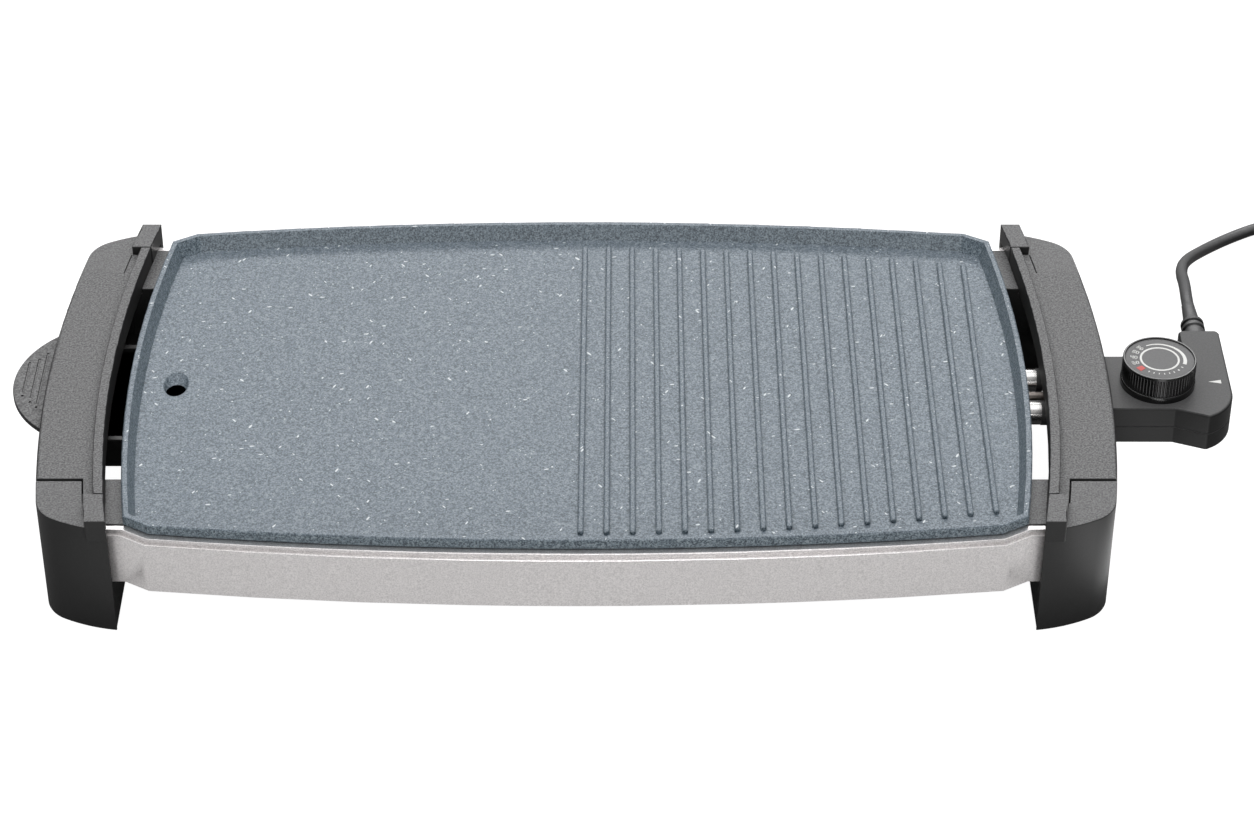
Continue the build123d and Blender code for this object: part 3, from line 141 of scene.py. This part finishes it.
# The two cards lie just over the floor and shine up, for the front rail and the knob's flutes to reflect
lamps = {
    "overheadLight": {"place": (0.0, 0.25, 2.3), "aim": (0, 0, 0), "size": (3.4, 2.2), "power": 28},
    "rearLight": {"place": (0.1, 2.2, 1.65), "aim": (0, 0, 0), "size": (2.6, 0.6), "power": 26},
    "frontCard": {"place": (0.0, -0.33, 0.002), "aim": (0.0, -0.33, 1), "size": (0.70, 0.34),
                  "power": 0.26},
    "knobCard": {"place": (0.302, -0.13, 0.002), "aim": (0.302, -0.13, 1), "size": (0.05, 0.16),
                 "power": 0.04},
    "frontLight": {"place": (0.1, -2.6, 0.7), "aim": (0, 0, 0.03), "size": (1.2, 0.8), "power": 20},
}


def setCamera():
    camera = bpy.data.objects.new("camera", bpy.data.cameras.new("camera"))
    bpy.context.scene.collection.objects.link(camera)
    camera.location = studio["eye"]
    camera.rotation_euler = (math.radians(studio["tilt"]), 0, 0)
    camera.data.lens = studio["lens"]
    camera.data.sensor_width = studio["sensorWidth"]
    camera.data.clip_start, camera.data.clip_end = studio["nearest"], studio["furthest"]
    bpy.context.scene.camera = camera


def setFloor():
    bm = bmesh.new()
    bmesh.ops.create_grid(bm, x_segments=1, y_segments=1, size=studio["floorSize"] / 2)
    mesh = bpy.data.meshes.new("floor")
    bm.to_mesh(mesh)
    bm.free()
    floor = bpy.data.objects.new("floor", mesh)
    bpy.context.scene.collection.objects.link(floor)
    material, tree, shader = newMaterial("paperFloor", studio["floorRoughness"], color=studio["floorShade"],
                                         specular=studio["floorShine"])
    shader.inputs["Emission Color"].default_value = (1, 1, 1, 1)
    # The glow only whitens the view: it doesn't light the griddle from below
    seen = addNode(tree, "ShaderNodeLightPath").outputs["Is Camera Ray"]
    tree.links.new(addMath(tree, "MULTIPLY", seen, studio["floorGlow"]), shader.inputs["Emission Strength"])
    mesh.materials.append(material)


def setLights():
    world = bpy.data.worlds.new("studioSky")
    world.use_nodes = True
    bpy.context.scene.world = world
    tree = world.node_tree
    direction = addNode(tree, "ShaderNodeTexCoord").outputs["Generated"]
    height = addNode(tree, "ShaderNodeSeparateXYZ", {"Vector": direction}).outputs["Z"]
    fade = addRamp(tree, height, studio["skyHeights"], (studio["skyLow"], studio["skyHigh"]))
    tree.links.new(fade, tree.nodes["Background"].inputs["Color"])
    tree.nodes["Background"].inputs["Strength"].default_value = studio["skyStrength"]
    for name, lamp in lamps.items():
        light = bpy.data.lights.new(name, "AREA")
        light.shape = "RECTANGLE"
        light.size, light.size_y = lamp["size"]
        light.energy = lamp["power"]
        holder = bpy.data.objects.new(name, light)
        bpy.context.scene.collection.objects.link(holder)
        holder.location = lamp["place"]
        aim = Vector(lamp["aim"]) - Vector(lamp["place"])
        holder.rotation_euler = aim.to_track_quat("-Z", "Y").to_euler()


setCamera()
setFloor()
setLights()
bpy.context.scene.view_settings.view_transform = "Standard"
print("studio ready")


# Node groups
floatKind = "NodeSocketFloat"
vectorKind = "NodeSocketVector"
groupLook = {
    "wideGrain": 0.40,      # scale of the coarse grain, as a share of the fine one's
    "smallestFleck": 0.12,  # reach from a cell's middle
    "fullyUp": 0.95,        # Z of the normal from which a face counts as level
}


def makeGrainGroup():
    # A fine two-scale grain: Shade for colour, Height for relief
    tree, given, result = newGroup("fineGrain", [("Scale", floatKind, 900.0), ("Coarse", floatKind, 0.4)],
                                   [("Shade", floatKind), ("Height", floatKind)])
    place = addNode(tree, "ShaderNodeTexCoord").outputs["Object"]
    fine = addNode(tree, "ShaderNodeTexNoise", {"Vector": place, "Scale": given["Scale"], "Detail": 1.0})
    wideScale = addMath(tree, "MULTIPLY", given["Scale"], groupLook["wideGrain"])
    wide = addNode(tree, "ShaderNodeTexNoise", {"Vector": place, "Scale": wideScale, "Detail": 1.0})
    share = addMath(tree, "MULTIPLY", wide.outputs["Fac"], given["Coarse"])
    both = addMath(tree, "ADD", fine.outputs["Fac"], share)
    weight = addMath(tree, "ADD", given["Coarse"], 1.0)
    tree.links.new(addMath(tree, "DIVIDE", both, weight), result["Shade"])
    tree.links.new(fine.outputs["Fac"], result["Height"])
    return tree


def makeFleckGroup():
    # Sparse slivers that all lie one way, seen from above
    tree, given, result = newGroup("coatingFlecks", [
        ("Turn", vectorKind, (0, 0, 0)), ("Stretch", vectorKind, (300, 300, 300)),
        ("Share", floatKind, 0.1), ("Size", floatKind, 0.2)], [("Mask", floatKind)])
    place = addNode(tree, "ShaderNodeTexCoord").outputs["Object"]
    turned = addNode(tree, "ShaderNodeMapping", {"Vector": place, "Rotation": given["Turn"]}).outputs[0]
    scaled = addNode(tree, "ShaderNodeVectorMath", {0: turned, 1: given["Stretch"]}, operation="MULTIPLY")
    cells = addNode(tree, "ShaderNodeTexVoronoi", {"Vector": scaled.outputs[0], "Scale": 1.0},
                    voronoi_dimensions="2D")
    pick = addNode(tree, "ShaderNodeSeparateColor", {"Color": cells.outputs["Color"]})
    chosen = addMath(tree, "LESS_THAN", pick.outputs["Red"], given["Share"])
    reach = addMath(tree, "MULTIPLY_ADD", pick.outputs["Red"], given["Size"])
    reach.node.inputs[2].default_value = groupLook["smallestFleck"]
    near = addMath(tree, "LESS_THAN", cells.outputs["Distance"], reach)
    tree.links.new(addMath(tree, "MULTIPLY", chosen, near), result["Mask"])
    return tree


def makeTopGroup():
    # 1 on faces that look up, 0 on walls and undersides: the mask by which the coating and the plastics paint
    # light on level faces and shade on walls
    tree, given, result = newGroup("facesUp", [("Start", floatKind, 0.5)], [("Mask", floatKind)])
    normal = addNode(tree, "ShaderNodeNewGeometry").outputs["Normal"]
    height = addNode(tree, "ShaderNodeSeparateXYZ", {"Vector": normal}).outputs["Z"]
    spread = addNode(tree, "ShaderNodeMapRange", {"Value": height, "From Min": given["Start"],
                                                  "From Max": groupLook["fullyUp"]})
    tree.links.new(spread.outputs["Result"], result["Mask"])
    return tree


grainGroup = makeGrainGroup()
fleckGroup = makeFleckGroup()
topGroup = makeTopGroup()


# Stone coating of the griddle plate
coating = {
    # dark, middle and light grains, on the faces that look up and on the walls; the lighter level set is
    # painted light and the darker wall set is painted shade
    "litTopShades": ((0.085, 0.110, 0.134), (0.170, 0.206, 0.242), (0.290, 0.335, 0.375)),
    "shadedWallShades": ((0.035, 0.048, 0.060), (0.125, 0.165, 0.195), (0.270, 0.320, 0.350)),
    "grainStops": (0.36, 0.50, 0.64),
    "grainScale": 1150.0,
    "grainCoarse": 0.35,
    "paintedShadeFades": 0.05,       # Z of the normal where the painted wall shade starts to fade out
    "fleck": (0.80, 0.84, 0.86, 1.0),
    "fleckStrength": 0.85,
    "fleckStarts": 0.80,    # Z of the normal where the flecks start to show
    "roughness": (0.36, 0.56),
    "specular": 0.45,
    "bump": 0.15,
    # turn in degrees; how many slivers to a metre across and along; the share kept; their size
    "flecks": [
        {"turn": 25, "across": 720, "along": 250, "share": 0.0055, "size": 0.32},
        {"turn": -40, "across": 700, "along": 240, "share": 0.0050, "size": 0.32},
        {"turn": 82, "across": 760, "along": 300, "share": 0.0055, "size": 0.32},
        {"turn": 5, "across": 520, "along": 470, "share": 0.0040, "size": 0.18},
        {"turn": 60, "across": 900, "along": 820, "share": 0.0080, "size": 0.24},
    ],
}


def makeStoneCoating():
    roughLow, roughHigh = coating["roughness"]
    material, tree, shader = newMaterial("stoneCoating", roughLow, specular=coating["specular"])
    grain = useGroup(tree, grainGroup, {"Scale": coating["grainScale"], "Coarse": coating["grainCoarse"]})
    litSpeckle = addRamp(tree, grain["Shade"], coating["grainStops"], coating["litTopShades"])
    shadedWalls = addRamp(tree, grain["Shade"], coating["grainStops"], coating["shadedWallShades"])
    litFaceMask = useGroup(tree, topGroup, {"Start": coating["paintedShadeFades"]})["Mask"]
    # Walls take the darker grain and level faces the lighter one: painted shade and painted light by facing
    shade = addMixColor(tree, litFaceMask, shadedWalls, litSpeckle)
    mask = None
    for fleck in coating["flecks"]:
        layer = useGroup(tree, fleckGroup, {
            "Turn": (0, 0, math.radians(fleck["turn"])), "Stretch": (fleck["across"], fleck["along"], 1.0),
            "Share": fleck["share"], "Size": fleck["size"] / fleck["share"]})["Mask"]
        mask = layer if mask is None else addMath(tree, "MAXIMUM", mask, layer)
    level = useGroup(tree, topGroup, {"Start": coating["fleckStarts"]})["Mask"]
    soft = addMath(tree, "MULTIPLY", addMath(tree, "MULTIPLY", mask, level), coating["fleckStrength"])
    tree.links.new(addMixColor(tree, soft, shade, coating["fleck"]), shader.inputs["Base Color"])
    tree.links.new(addSpread(tree, grain["Shade"], roughLow, roughHigh), shader.inputs["Roughness"])
    addBump(tree, shader, grain["Height"], coating["bump"])
    return material


# Plastics and metals
plasticLook = {
    "coarse": 0.25,
    "topStops": (0.37, 0.50, 0.63),
    "wallStops": (0.3, 0.7),
    "wallDepth": 0.15,      # how far the walls' shade goes down and up, as a share
    "roughSpread": 0.06,
}
metalLook = {"coarse": 0.3, "stops": (0.32, 0.50, 0.68), "roughSpread": 0.2}


def shadesAround(shade, depth):
    # The shade made darker by a share, as it is, and lighter by the same share
    return [value * (1 - depth) for value in shade], shade, [min(1.0, value * (1 + depth)) for value in shade]


def makePlastic(name, shadedWall, top, grainScale, grainDepth, roughness, start=0.55, bump=0.2, specular=0.5):
    # Moulded plastic: smooth walls, and a lighter spark texture on the faces that look up; the spark grain is
    # the plastic's own, and the lighter top and darker walls are painted light and painted shade
    material, tree, shader = newMaterial(name, roughness, specular=specular)
    grain = useGroup(tree, grainGroup, {"Scale": grainScale, "Coarse": plasticLook["coarse"]})
    litFaceMask = useGroup(tree, topGroup, {"Start": start})["Mask"]
    litTexture = addRamp(tree, grain["Shade"], plasticLook["topStops"], shadesAround(top, grainDepth))
    darkWall, _, lightWall = shadesAround(shadedWall, plasticLook["wallDepth"])
    shadedPlain = addRamp(tree, grain["Shade"], plasticLook["wallStops"], (darkWall, lightWall))
    # Painted shade on the walls, painted light on the faces that look up
    tree.links.new(addMixColor(tree, litFaceMask, shadedPlain, litTexture), shader.inputs["Base Color"])
    spread = plasticLook["roughSpread"]
    rough = addSpread(tree, grain["Shade"], roughness - spread, roughness + spread)
    tree.links.new(rough, shader.inputs["Roughness"])
    addBump(tree, shader, grain["Height"], bump)
    return material


def makeMetal(name, color, roughness, grainScale, grainDepth, metallic=1.0, bump=0.1):
    material, tree, shader = newMaterial(name, roughness, metallic=metallic)
    grain = useGroup(tree, grainGroup, {"Scale": grainScale, "Coarse": metalLook["coarse"]})
    shade = addRamp(tree, grain["Shade"], metalLook["stops"], shadesAround(color, grainDepth))
    tree.links.new(shade, shader.inputs["Base Color"])
    spread = metalLook["roughSpread"]
    rough = addSpread(tree, grain["Shade"], roughness * (1 - spread), roughness * (1 + spread))
    tree.links.new(rough, shader.inputs["Roughness"])
    addBump(tree, shader, grain["Height"], bump)
    return material


# slot: name, then colours (wall and top, where a dark wall is painted shade and a lighter top painted light,
# or the metal's), roughness and grain as each maker takes them
finishes = {
    "stone_coating": makeStoneCoating(),
    "sheath_steel": makeMetal("sheathSteel", (0.30, 0.27, 0.25), 0.42, 500, 0.25),
    "bright_steel": makeMetal("brightSteel", (0.66, 0.65, 0.64), 0.22, 700, 0.08),
    "screw_steel": makeMetal("screwSteel", (0.52, 0.52, 0.52), 0.32, 700, 0.12),
    "ceramic": makePlastic("darkCeramic", (0.03, 0.03, 0.03), (0.04, 0.04, 0.04), 900, 0.15, 0.5),
    "rail_silver": makeMetal("railSilver", (0.80, 0.775, 0.77), 0.33, 1300, 0.16, metallic=0.85, bump=0.12),
    # Handles, legs and control: near-black walls under a much lighter top, painted shade and painted light
    "handle_grey": makePlastic("handleGrey", (0.012, 0.012, 0.012), (0.152, 0.152, 0.154), 1000, 0.45,
                               0.62),
    "leg_black": makePlastic("legBlack", (0.014, 0.014, 0.014), (0.122, 0.122, 0.124), 1000, 0.45, 0.45,
                             specular=0.45),
    "tray_black": makePlastic("trayBlack", (0.012, 0.012, 0.012), (0.014, 0.014, 0.014), 900, 0.10, 0.35),
    "foot_rubber": makePlastic("footRubber", (0.020, 0.020, 0.020), (0.025, 0.025, 0.025), 800, 0.15, 0.8),
    "control_black": makePlastic("controlBlack", (0.010, 0.010, 0.010), (0.100, 0.100, 0.101), 1000, 0.10,
                                 0.46, specular=0.3),
    "gloss_black": makePlastic("glossBlack", (0.002, 0.002, 0.002), (0.003, 0.003, 0.003), 600, 0.05, 0.20,
                               bump=0.02, specular=0.6),
    "dial_grey": makePlastic("dialGrey", (0.10, 0.10, 0.10), (0.160, 0.160, 0.162), 900, 0.05, 0.50,
                             specular=0.35),
    "contact_brass": makeMetal("contactBrass", (0.72, 0.60, 0.38), 0.25, 600, 0.08),
    "lead_insulation": makePlastic("leadInsulation", (0.30, 0.05, 0.03), (0.32, 0.06, 0.04), 600, 0.1,
                                   0.5),
    # Cord: grey top over near-black sides, painted light and painted shade
    "cord_black": makePlastic("cordBlack", (0.008, 0.008, 0.008), (0.125, 0.125, 0.127), 700, 0.12, 0.42,
                              start=0.30),
    "tie_grey": makePlastic("tieGrey", (0.035, 0.035, 0.035), (0.07, 0.07, 0.07), 1800, 0.5, 0.9),
}
slotOf = {part["node"]: part["material_slot"] for part in frame["record"]["subparts"]}
for name, shown in cadNodes.items():
    shown.data.materials.clear()
    shown.data.materials.append(finishes[slotOf[name]])
print("materials:", len(finishes))


# Piece helpers
samePoint = 1e-6        # points nearer than this are one


def finishPiece(bm, name, body, slot, sharpAngle=35, material=None):
    bmesh.ops.remove_doubles(bm, verts=bm.verts, dist=samePoint)
    bmesh.ops.recalc_face_normals(bm, faces=bm.faces)
    mesh = bpy.data.meshes.new(name)
    bm.to_mesh(mesh)
    bm.free()
    mesh.shade_smooth()
    mesh.set_sharp_from_angle(angle=math.radians(sharpAngle))
    mesh.materials.append(material or finishes[slot])
    piece = bpy.data.objects.new(name, mesh)
    bpy.context.scene.collection.objects.link(piece)
    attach(piece, body)
    return piece


# Rounded copies: the same shapes as the CAD pieces, with their sharp edges eased
flatAngle = 1.5         # neighbouring faces this nearly level become one
allEdges = -0.01        # a lowest edge below the floor, so that every edge counts
roundedPieces = {
    # piece: node, body, slot, edge radius, smallest angle, segments, lowest rounded edge
    "leftCover": ("left_handle_cover", "base", "handle_grey", 0.0005, 40, 2, allEdges),
    "rightCover": ("right_handle_cover", "base", "handle_grey", 0.0005, 40, 2, allEdges),
    "frontLeftLeg": ("front_left_leg", "base", "leg_black", 0.0006, 40, 2, allEdges),
    "rearLeftLeg": ("rear_left_leg", "base", "leg_black", 0.0006, 40, 2, allEdges),
    "frontRightLeg": ("front_right_leg", "base", "leg_black", 0.0006, 40, 2, allEdges),
    "rearRightLeg": ("rear_right_leg", "base", "leg_black", 0.0006, 40, 2, allEdges),
    "frontRail": ("front_rail", "base", "rail_silver", 0.0005, 25, 3, 0.050),
    "rearRail": ("rear_rail", "base", "rail_silver", 0.0005, 25, 3, 0.050),
    "controlTop": ("control_upper_housing", "control", "control_black", 0.0005, 30, 2, allEdges),
    "controlBase": ("control_lower_housing", "control", "control_black", 0.0005, 30, 2, allEdges),
    "trayPull": ("tray_pull", "tray", "handle_grey", 0.0004, 40, 2, allEdges),
    "drainTray": ("drip_tray", "tray", "tray_black", 0.0004, 40, 2, allEdges),
}


def makeRoundedCopy(name, node, body, slot, radius, angle, segments, lowest):
    source = cadNodes[node]
    bm = bmesh.new()
    bm.from_mesh(source.data)
    bm.transform(source.matrix_world)
    bmesh.ops.remove_doubles(bm, verts=bm.verts, dist=samePoint)
    bmesh.ops.dissolve_limit(bm, angle_limit=math.radians(flatAngle), verts=bm.verts, edges=bm.edges)
    sharp = [edge for edge in bm.edges if len(edge.link_faces) == 2 and edge.is_convex
             and edge.calc_face_angle() > math.radians(angle)
             and min(vert.co.z for vert in edge.verts) > lowest
             and min(face.calc_area() for face in edge.link_faces) > radius * radius]
    bmesh.ops.bevel(bm, geom=sharp, offset=radius, offset_type="OFFSET", segments=segments, profile=0.5,
                    affect="EDGES", clamp_overlap=False, material=-1)
    loose = sum(1 for edge in bm.edges if len(edge.link_faces) != 2)
    print(name, "edges rounded:", len(sharp), "open:", loose)
    piece = finishPiece(bm, name, body, slot)
    # Flat faces keep their own direction, and the rounded edges blend between them
    weighted = piece.modifiers.new("flatFaces", "WEIGHTED_NORMAL")
    weighted.keep_sharp = True
    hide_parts(node)


for name, facts in roundedPieces.items():
    makeRoundedCopy(name, *facts)


# Dial marks: thin raised print on the dial's disc, around the disc's centre
dialLook = {
    # degrees count from +X towards +Y; two radii together are a band's inner and outer edge
    "ring": (0.0098, 0.0109),
    "wedgeStart": (-20, 0.0128, 0.0149),
    "wedgeEnd": (116, 0.0134, 0.0140),
    "numbers": [(133, "80"), (152, "60"), (173, "40"), (194, "20")],
    "numberReach": 0.0141,
    "digitWidth": 0.0013,
    "digitHeight": 0.0022,
    "digitPitch": 0.0021,
    "stroke": 0.00055,
    "redBlock": (210, 224, 0.0122, 0.0160),
    # degrees of each tick's middle, and half its width
    "ticks": [(238, 1.2), (250, 1.0), (262, 1.0), (274, 1.0), (286, 1.0), (298, 1.0), (312, 1.8),
              (326, 1.2)],
    "tickReach": (0.0131, 0.0143),
    "sunk": 0.00005,
    "height": 0.00015,
    "stepDegrees": 4,
}
digitStrokes = {
    "0": [((0, 0), (1, 0)), ((1, 0), (1, 1)), ((1, 1), (0, 1)), ((0, 1), (0, 0))],
    "2": [((0, 1), (1, 1)), ((1, 1), (1, 0.5)), ((1, 0.5), (0, 0.5)), ((0, 0.5), (0, 0)), ((0, 0), (1, 0))],
    "4": [((0, 1), (0, 0.5)), ((0, 0.5), (1, 0.5)), ((1, 1), (1, 0))],
    "6": [((1, 1), (0, 1)), ((0, 1), (0, 0)), ((0, 0), (1, 0)), ((1, 0), (1, 0.5)), ((1, 0.5), (0, 0.5))],
    "8": [((0, 0), (1, 0)), ((1, 0), (1, 1)), ((1, 1), (0, 1)), ((0, 1), (0, 0)), ((0, 0.5), (1, 0.5))],
}
printLook = {"white": (0.80, 0.80, 0.78), "red": (0.62, 0.10, 0.09), "roughness": 0.5, "grainScale": 2500.0,
             "bump": 0.1, "bumpDistance": 0.00002}


def makePrint(name, color):
    material, tree, shader = newMaterial(name, printLook["roughness"], color=color)
    height = useGroup(tree, grainGroup, {"Scale": printLook["grainScale"]})["Height"]
    addBump(tree, shader, height, printLook["bump"], printLook["bumpDistance"])
    return material


printWhite = makePrint("printWhite", printLook["white"])
printRed = makePrint("printRed", printLook["red"])


def addSlab(bm, outline, low, high):
    # A flat closed plate from its outline
    base = [bm.verts.new((x, y, low)) for x, y in outline]
    made = bmesh.ops.extrude_face_region(bm, geom=[bm.faces.new(base)])
    risen = [item for item in made["geom"] if isinstance(item, bmesh.types.BMVert)]
    bmesh.ops.translate(bm, verts=risen, vec=(0, 0, high - low))


def ringPoint(centre, degrees, radius):
    turn = math.radians(degrees)
    return (centre.x + radius * math.cos(turn), centre.y + radius * math.sin(turn))


def addSector(bm, centre, start, end, low, high):
    # A band of a ring: start and end give degrees, inner and outer radius
    count = max(2, round((end[0] - start[0]) / dialLook["stepDegrees"]))
    closed = end[0] - start[0] == 360
    rows = []
    for index in range(count if closed else count + 1):
        share = index / count
        degrees, inner, outer = [a + (b - a) * share for a, b in zip(start, end)]
        innerX, innerY = ringPoint(centre, degrees, inner)
        outerX, outerY = ringPoint(centre, degrees, outer)
        rows.append([bm.verts.new(place) for place in (
            (innerX, innerY, low), (outerX, outerY, low), (outerX, outerY, high), (innerX, innerY, high))])
    following = rows[1:] + rows[:1] if closed else rows[1:]
    for here, ahead in zip(rows, following):
        for k in range(4):
            bm.faces.new((here[k], here[(k + 1) % 4], ahead[(k + 1) % 4], ahead[k]))
    if not closed:
        bm.faces.new(rows[0])
        bm.faces.new(rows[-1])


def addNumber(bm, centre, degrees, number, low, high):
    # A number of straight strokes, written along the radius towards the middle
    middle = Vector(ringPoint(centre, degrees, dialLook["numberReach"]))
    inward = Vector((-math.cos(math.radians(degrees)), -math.sin(math.radians(degrees))))
    upward = Vector((-inward.y, inward.x))
    half = dialLook["stroke"] / 2
    width, height = inward * dialLook["digitWidth"], upward * dialLook["digitHeight"]
    for place, digit in enumerate(number):
        start = middle + inward * (place - (len(number) - 1) / 2) * dialLook["digitPitch"]
        for stroke in digitStrokes[digit]:
            a, b = [start + (u - 0.5) * width + (v - 0.5) * height for u, v in stroke]
            along = (b - a).normalized() * half
            side = Vector((-along.y, along.x))
            addSlab(bm, [a - along - side, b + along - side, b + along + side, a - along + side], low, high)


def makeDialMarks():
    low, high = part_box("dial_disc")
    centre = (low + high) / 2
    base, top = high.z - dialLook["sunk"], high.z + dialLook["height"]
    bm = bmesh.new()
    inner, outer = dialLook["ring"]
    addSector(bm, centre, (0, inner, outer), (360, inner, outer), base, top)
    addSector(bm, centre, dialLook["wedgeStart"], dialLook["wedgeEnd"], base, top)
    for degrees, number in dialLook["numbers"]:
        addNumber(bm, centre, degrees, number, base, top)
    inner, outer = dialLook["tickReach"]
    for degrees, half in dialLook["ticks"]:
        addSector(bm, centre, (degrees - half, inner, outer), (degrees + half, inner, outer), base, top)
    finishPiece(bm, "dialMarks", "dial", "dial_grey", material=printWhite)
    bm = bmesh.new()
    start, end, inner, outer = dialLook["redBlock"]
    addSector(bm, centre, (start, inner, outer), (end, inner, outer), base, top)
    finishPiece(bm, "dialRedMark", "dial", "dial_grey", material=printRed)


# Pointer mark beside the dial: a triangle along X on the control's top
pointerLook = {"tip": 0.32325, "base": 0.33015, "halfWidth": 0.0016, "sunk": 0.0001, "height": 0.00015}


def makePointer():
    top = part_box("control_upper_housing")[1].z
    bm = bmesh.new()
    outline = [(pointerLook["tip"], 0), (pointerLook["base"], -pointerLook["halfWidth"]),
               (pointerLook["base"], pointerLook["halfWidth"])]
    addSlab(bm, outline, top - pointerLook["sunk"], top + pointerLook["height"])
    finishPiece(bm, "pointerMark", "control", "control_black", material=printWhite)


# Turned pieces: a profile of (along, radius) pairs spun about an axis
def spinPiece(name, profile, origin, axis, body, slot, steps, sharpAngle):
    bm = bmesh.new()
    along, out = Vector(axis), Vector((1, 0, 0))
    ring = [bm.verts.new(Vector(origin) + along * place + out * radius) for place, radius in profile]
    edges = [bm.edges.new(pair) for pair in zip(ring, ring[1:])]
    bmesh.ops.spin(bm, geom=ring + edges, cent=origin, axis=axis, angle=math.radians(360), steps=steps,
                   use_merge=True)
    return finishPiece(bm, name, body, slot, sharpAngle)


knobRim = {"low": -0.0006, "rise": 0.0008, "inner": 0.01885, "outer": 0.0201, "round": 0.0003,
           "steps": 96, "sharpAngle": 40}


def makeKnobRim():
    # A thin standing rim around the dial's disc
    low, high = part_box("dial_disc")
    middle = (low + high) / 2
    inner, outer, edge = knobRim["inner"], knobRim["outer"], knobRim["round"]
    bottom, rise = knobRim["low"], knobRim["rise"]
    profile = [(bottom, inner), (rise - edge, inner), (rise, inner + edge), (rise, outer - edge),
               (rise - edge, outer), (bottom, outer), (bottom, inner)]
    spinPiece("knobRim", profile, (middle.x, middle.y, high.z), (0, 0, 1), "dial", "gloss_black",
              knobRim["steps"], knobRim["sharpAngle"])


# Cord boot: stands for the strain relief, with its grooves and its taper
bootLook = {
    "origin": (0.32445, 0.0490, 0.0510),
    # distance from the housing and radius
    "profile": [
        (-0.0020, 0.0), (-0.0020, 0.0048), (0.0002, 0.0048), (0.0002, 0.0062), (0.0012, 0.0064),
        (0.0120, 0.0064), (0.0128, 0.0056), (0.0142, 0.0056), (0.0150, 0.0066), (0.0172, 0.0066),
        (0.0178, 0.0055), (0.0192, 0.0055), (0.0198, 0.0066), (0.0217, 0.0066), (0.0224, 0.0062),
        (0.0227, 0.0049), (0.0280, 0.0044), (0.0340, 0.0040), (0.0400, 0.0037), (0.0405, 0.0035),
        (0.0405, 0.0),
    ],
    "steps": 48,
    "sharpAngle": 30,
}


def makeCordBoot():
    boot = spinPiece("cordBoot", bootLook["profile"], bootLook["origin"], (0, 1, 0), "control", "cord_black",
                     bootLook["steps"], bootLook["sharpAngle"])
    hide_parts("strain_relief")


makeDialMarks()
makePointer()
makeKnobRim()
makeCordBoot()
print("dial marks, knob rim and cord boot made")


# Power cord
cordLook = {
    "diameter": 0.007,
    "length": 1.02,
    "exit": (0.32445, 0.0750, 0.0510),
    "route": [
        (0.32445, 0.0750, 0.0510), (0.32445, 0.0940, 0.0510), (0.32695, 0.1190, 0.0455),
        (0.32945, 0.1490, 0.0335), (0.33745, 0.1810, 0.0195), (0.35395, 0.2090, 0.0084),
        (0.37195, 0.2285, 0.0036), (0.39295, 0.2410, 0.0036), (0.41395, 0.2465, 0.0036),
        (0.43395, 0.2465, 0.0036),
    ],
    "pointsPerTurn": 24,
    "coilCentre": (0.46195, 0.2890),
    "coilStops": [
        # degrees along the winding, radius, height
        (12, 0.0426, 0.0036), (262, 0.0426, 0.0036), (334, 0.0352, 0.0036), (545, 0.0352, 0.0036),
        (622, 0.0352, 0.0109), (822, 0.0352, 0.0109), (902, 0.0426, 0.0109), (1068, 0.0426, 0.0109),
    ],
    "tail": [(0.4725, 0.2464, 0.0108), (0.4830, 0.2465, 0.0088), (0.4950, 0.2465, 0.0076),
             (0.5080, 0.2465, 0.0076)],
    "tubeSmoothness": 6,
    "lineSmoothness": 8,
}


def coilPoint(degrees):
    # Between two stops the radius and the height change evenly
    stops = cordLook["coilStops"]
    for (a, radiusA, heightA), (b, radiusB, heightB) in zip(stops, stops[1:]):
        if degrees <= b:
            share = (degrees - a) / (b - a)
            break
    radius = radiusA + (radiusB - radiusA) * share
    turn = math.radians(degrees - 90)       # the winding starts at the coil's front
    x, y = Vector(cordLook["coilCentre"]) + Vector((math.cos(turn), math.sin(turn))) * radius
    return (x, y, heightA + (heightB - heightA) * share)


def makeCord():
    points = list(cordLook["route"])
    first, last = cordLook["coilStops"][0][0], cordLook["coilStops"][-1][0]
    count = round((last - first) / 360 * cordLook["pointsPerTurn"])
    points += [coilPoint(first + (last - first) * index / count) for index in range(count + 1)]
    points += cordLook["tail"]
    curve = bpy.data.curves.new("powerCord", "CURVE")
    curve.dimensions = "3D"
    curve.bevel_depth = cordLook["diameter"] / 2
    curve.bevel_resolution = cordLook["tubeSmoothness"]
    curve.resolution_u = cordLook["lineSmoothness"]
    curve.use_fill_caps = True
    spline = curve.splines.new("NURBS")
    spline.points.add(len(points) - 1)
    for point, place in zip(spline.points, points):
        point.co = (*place, 1.0)
    spline.order_u = 3
    spline.use_endpoint_u = True
    cord = bpy.data.objects.new("powerCord", curve)
    bpy.context.scene.collection.objects.link(cord)
    curve.materials.append(finishes["cord_black"])
    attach(cord, "control")
    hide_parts("power_cord", "cord_coil")
    return cord


powerCord = makeCord()
print("cord made")
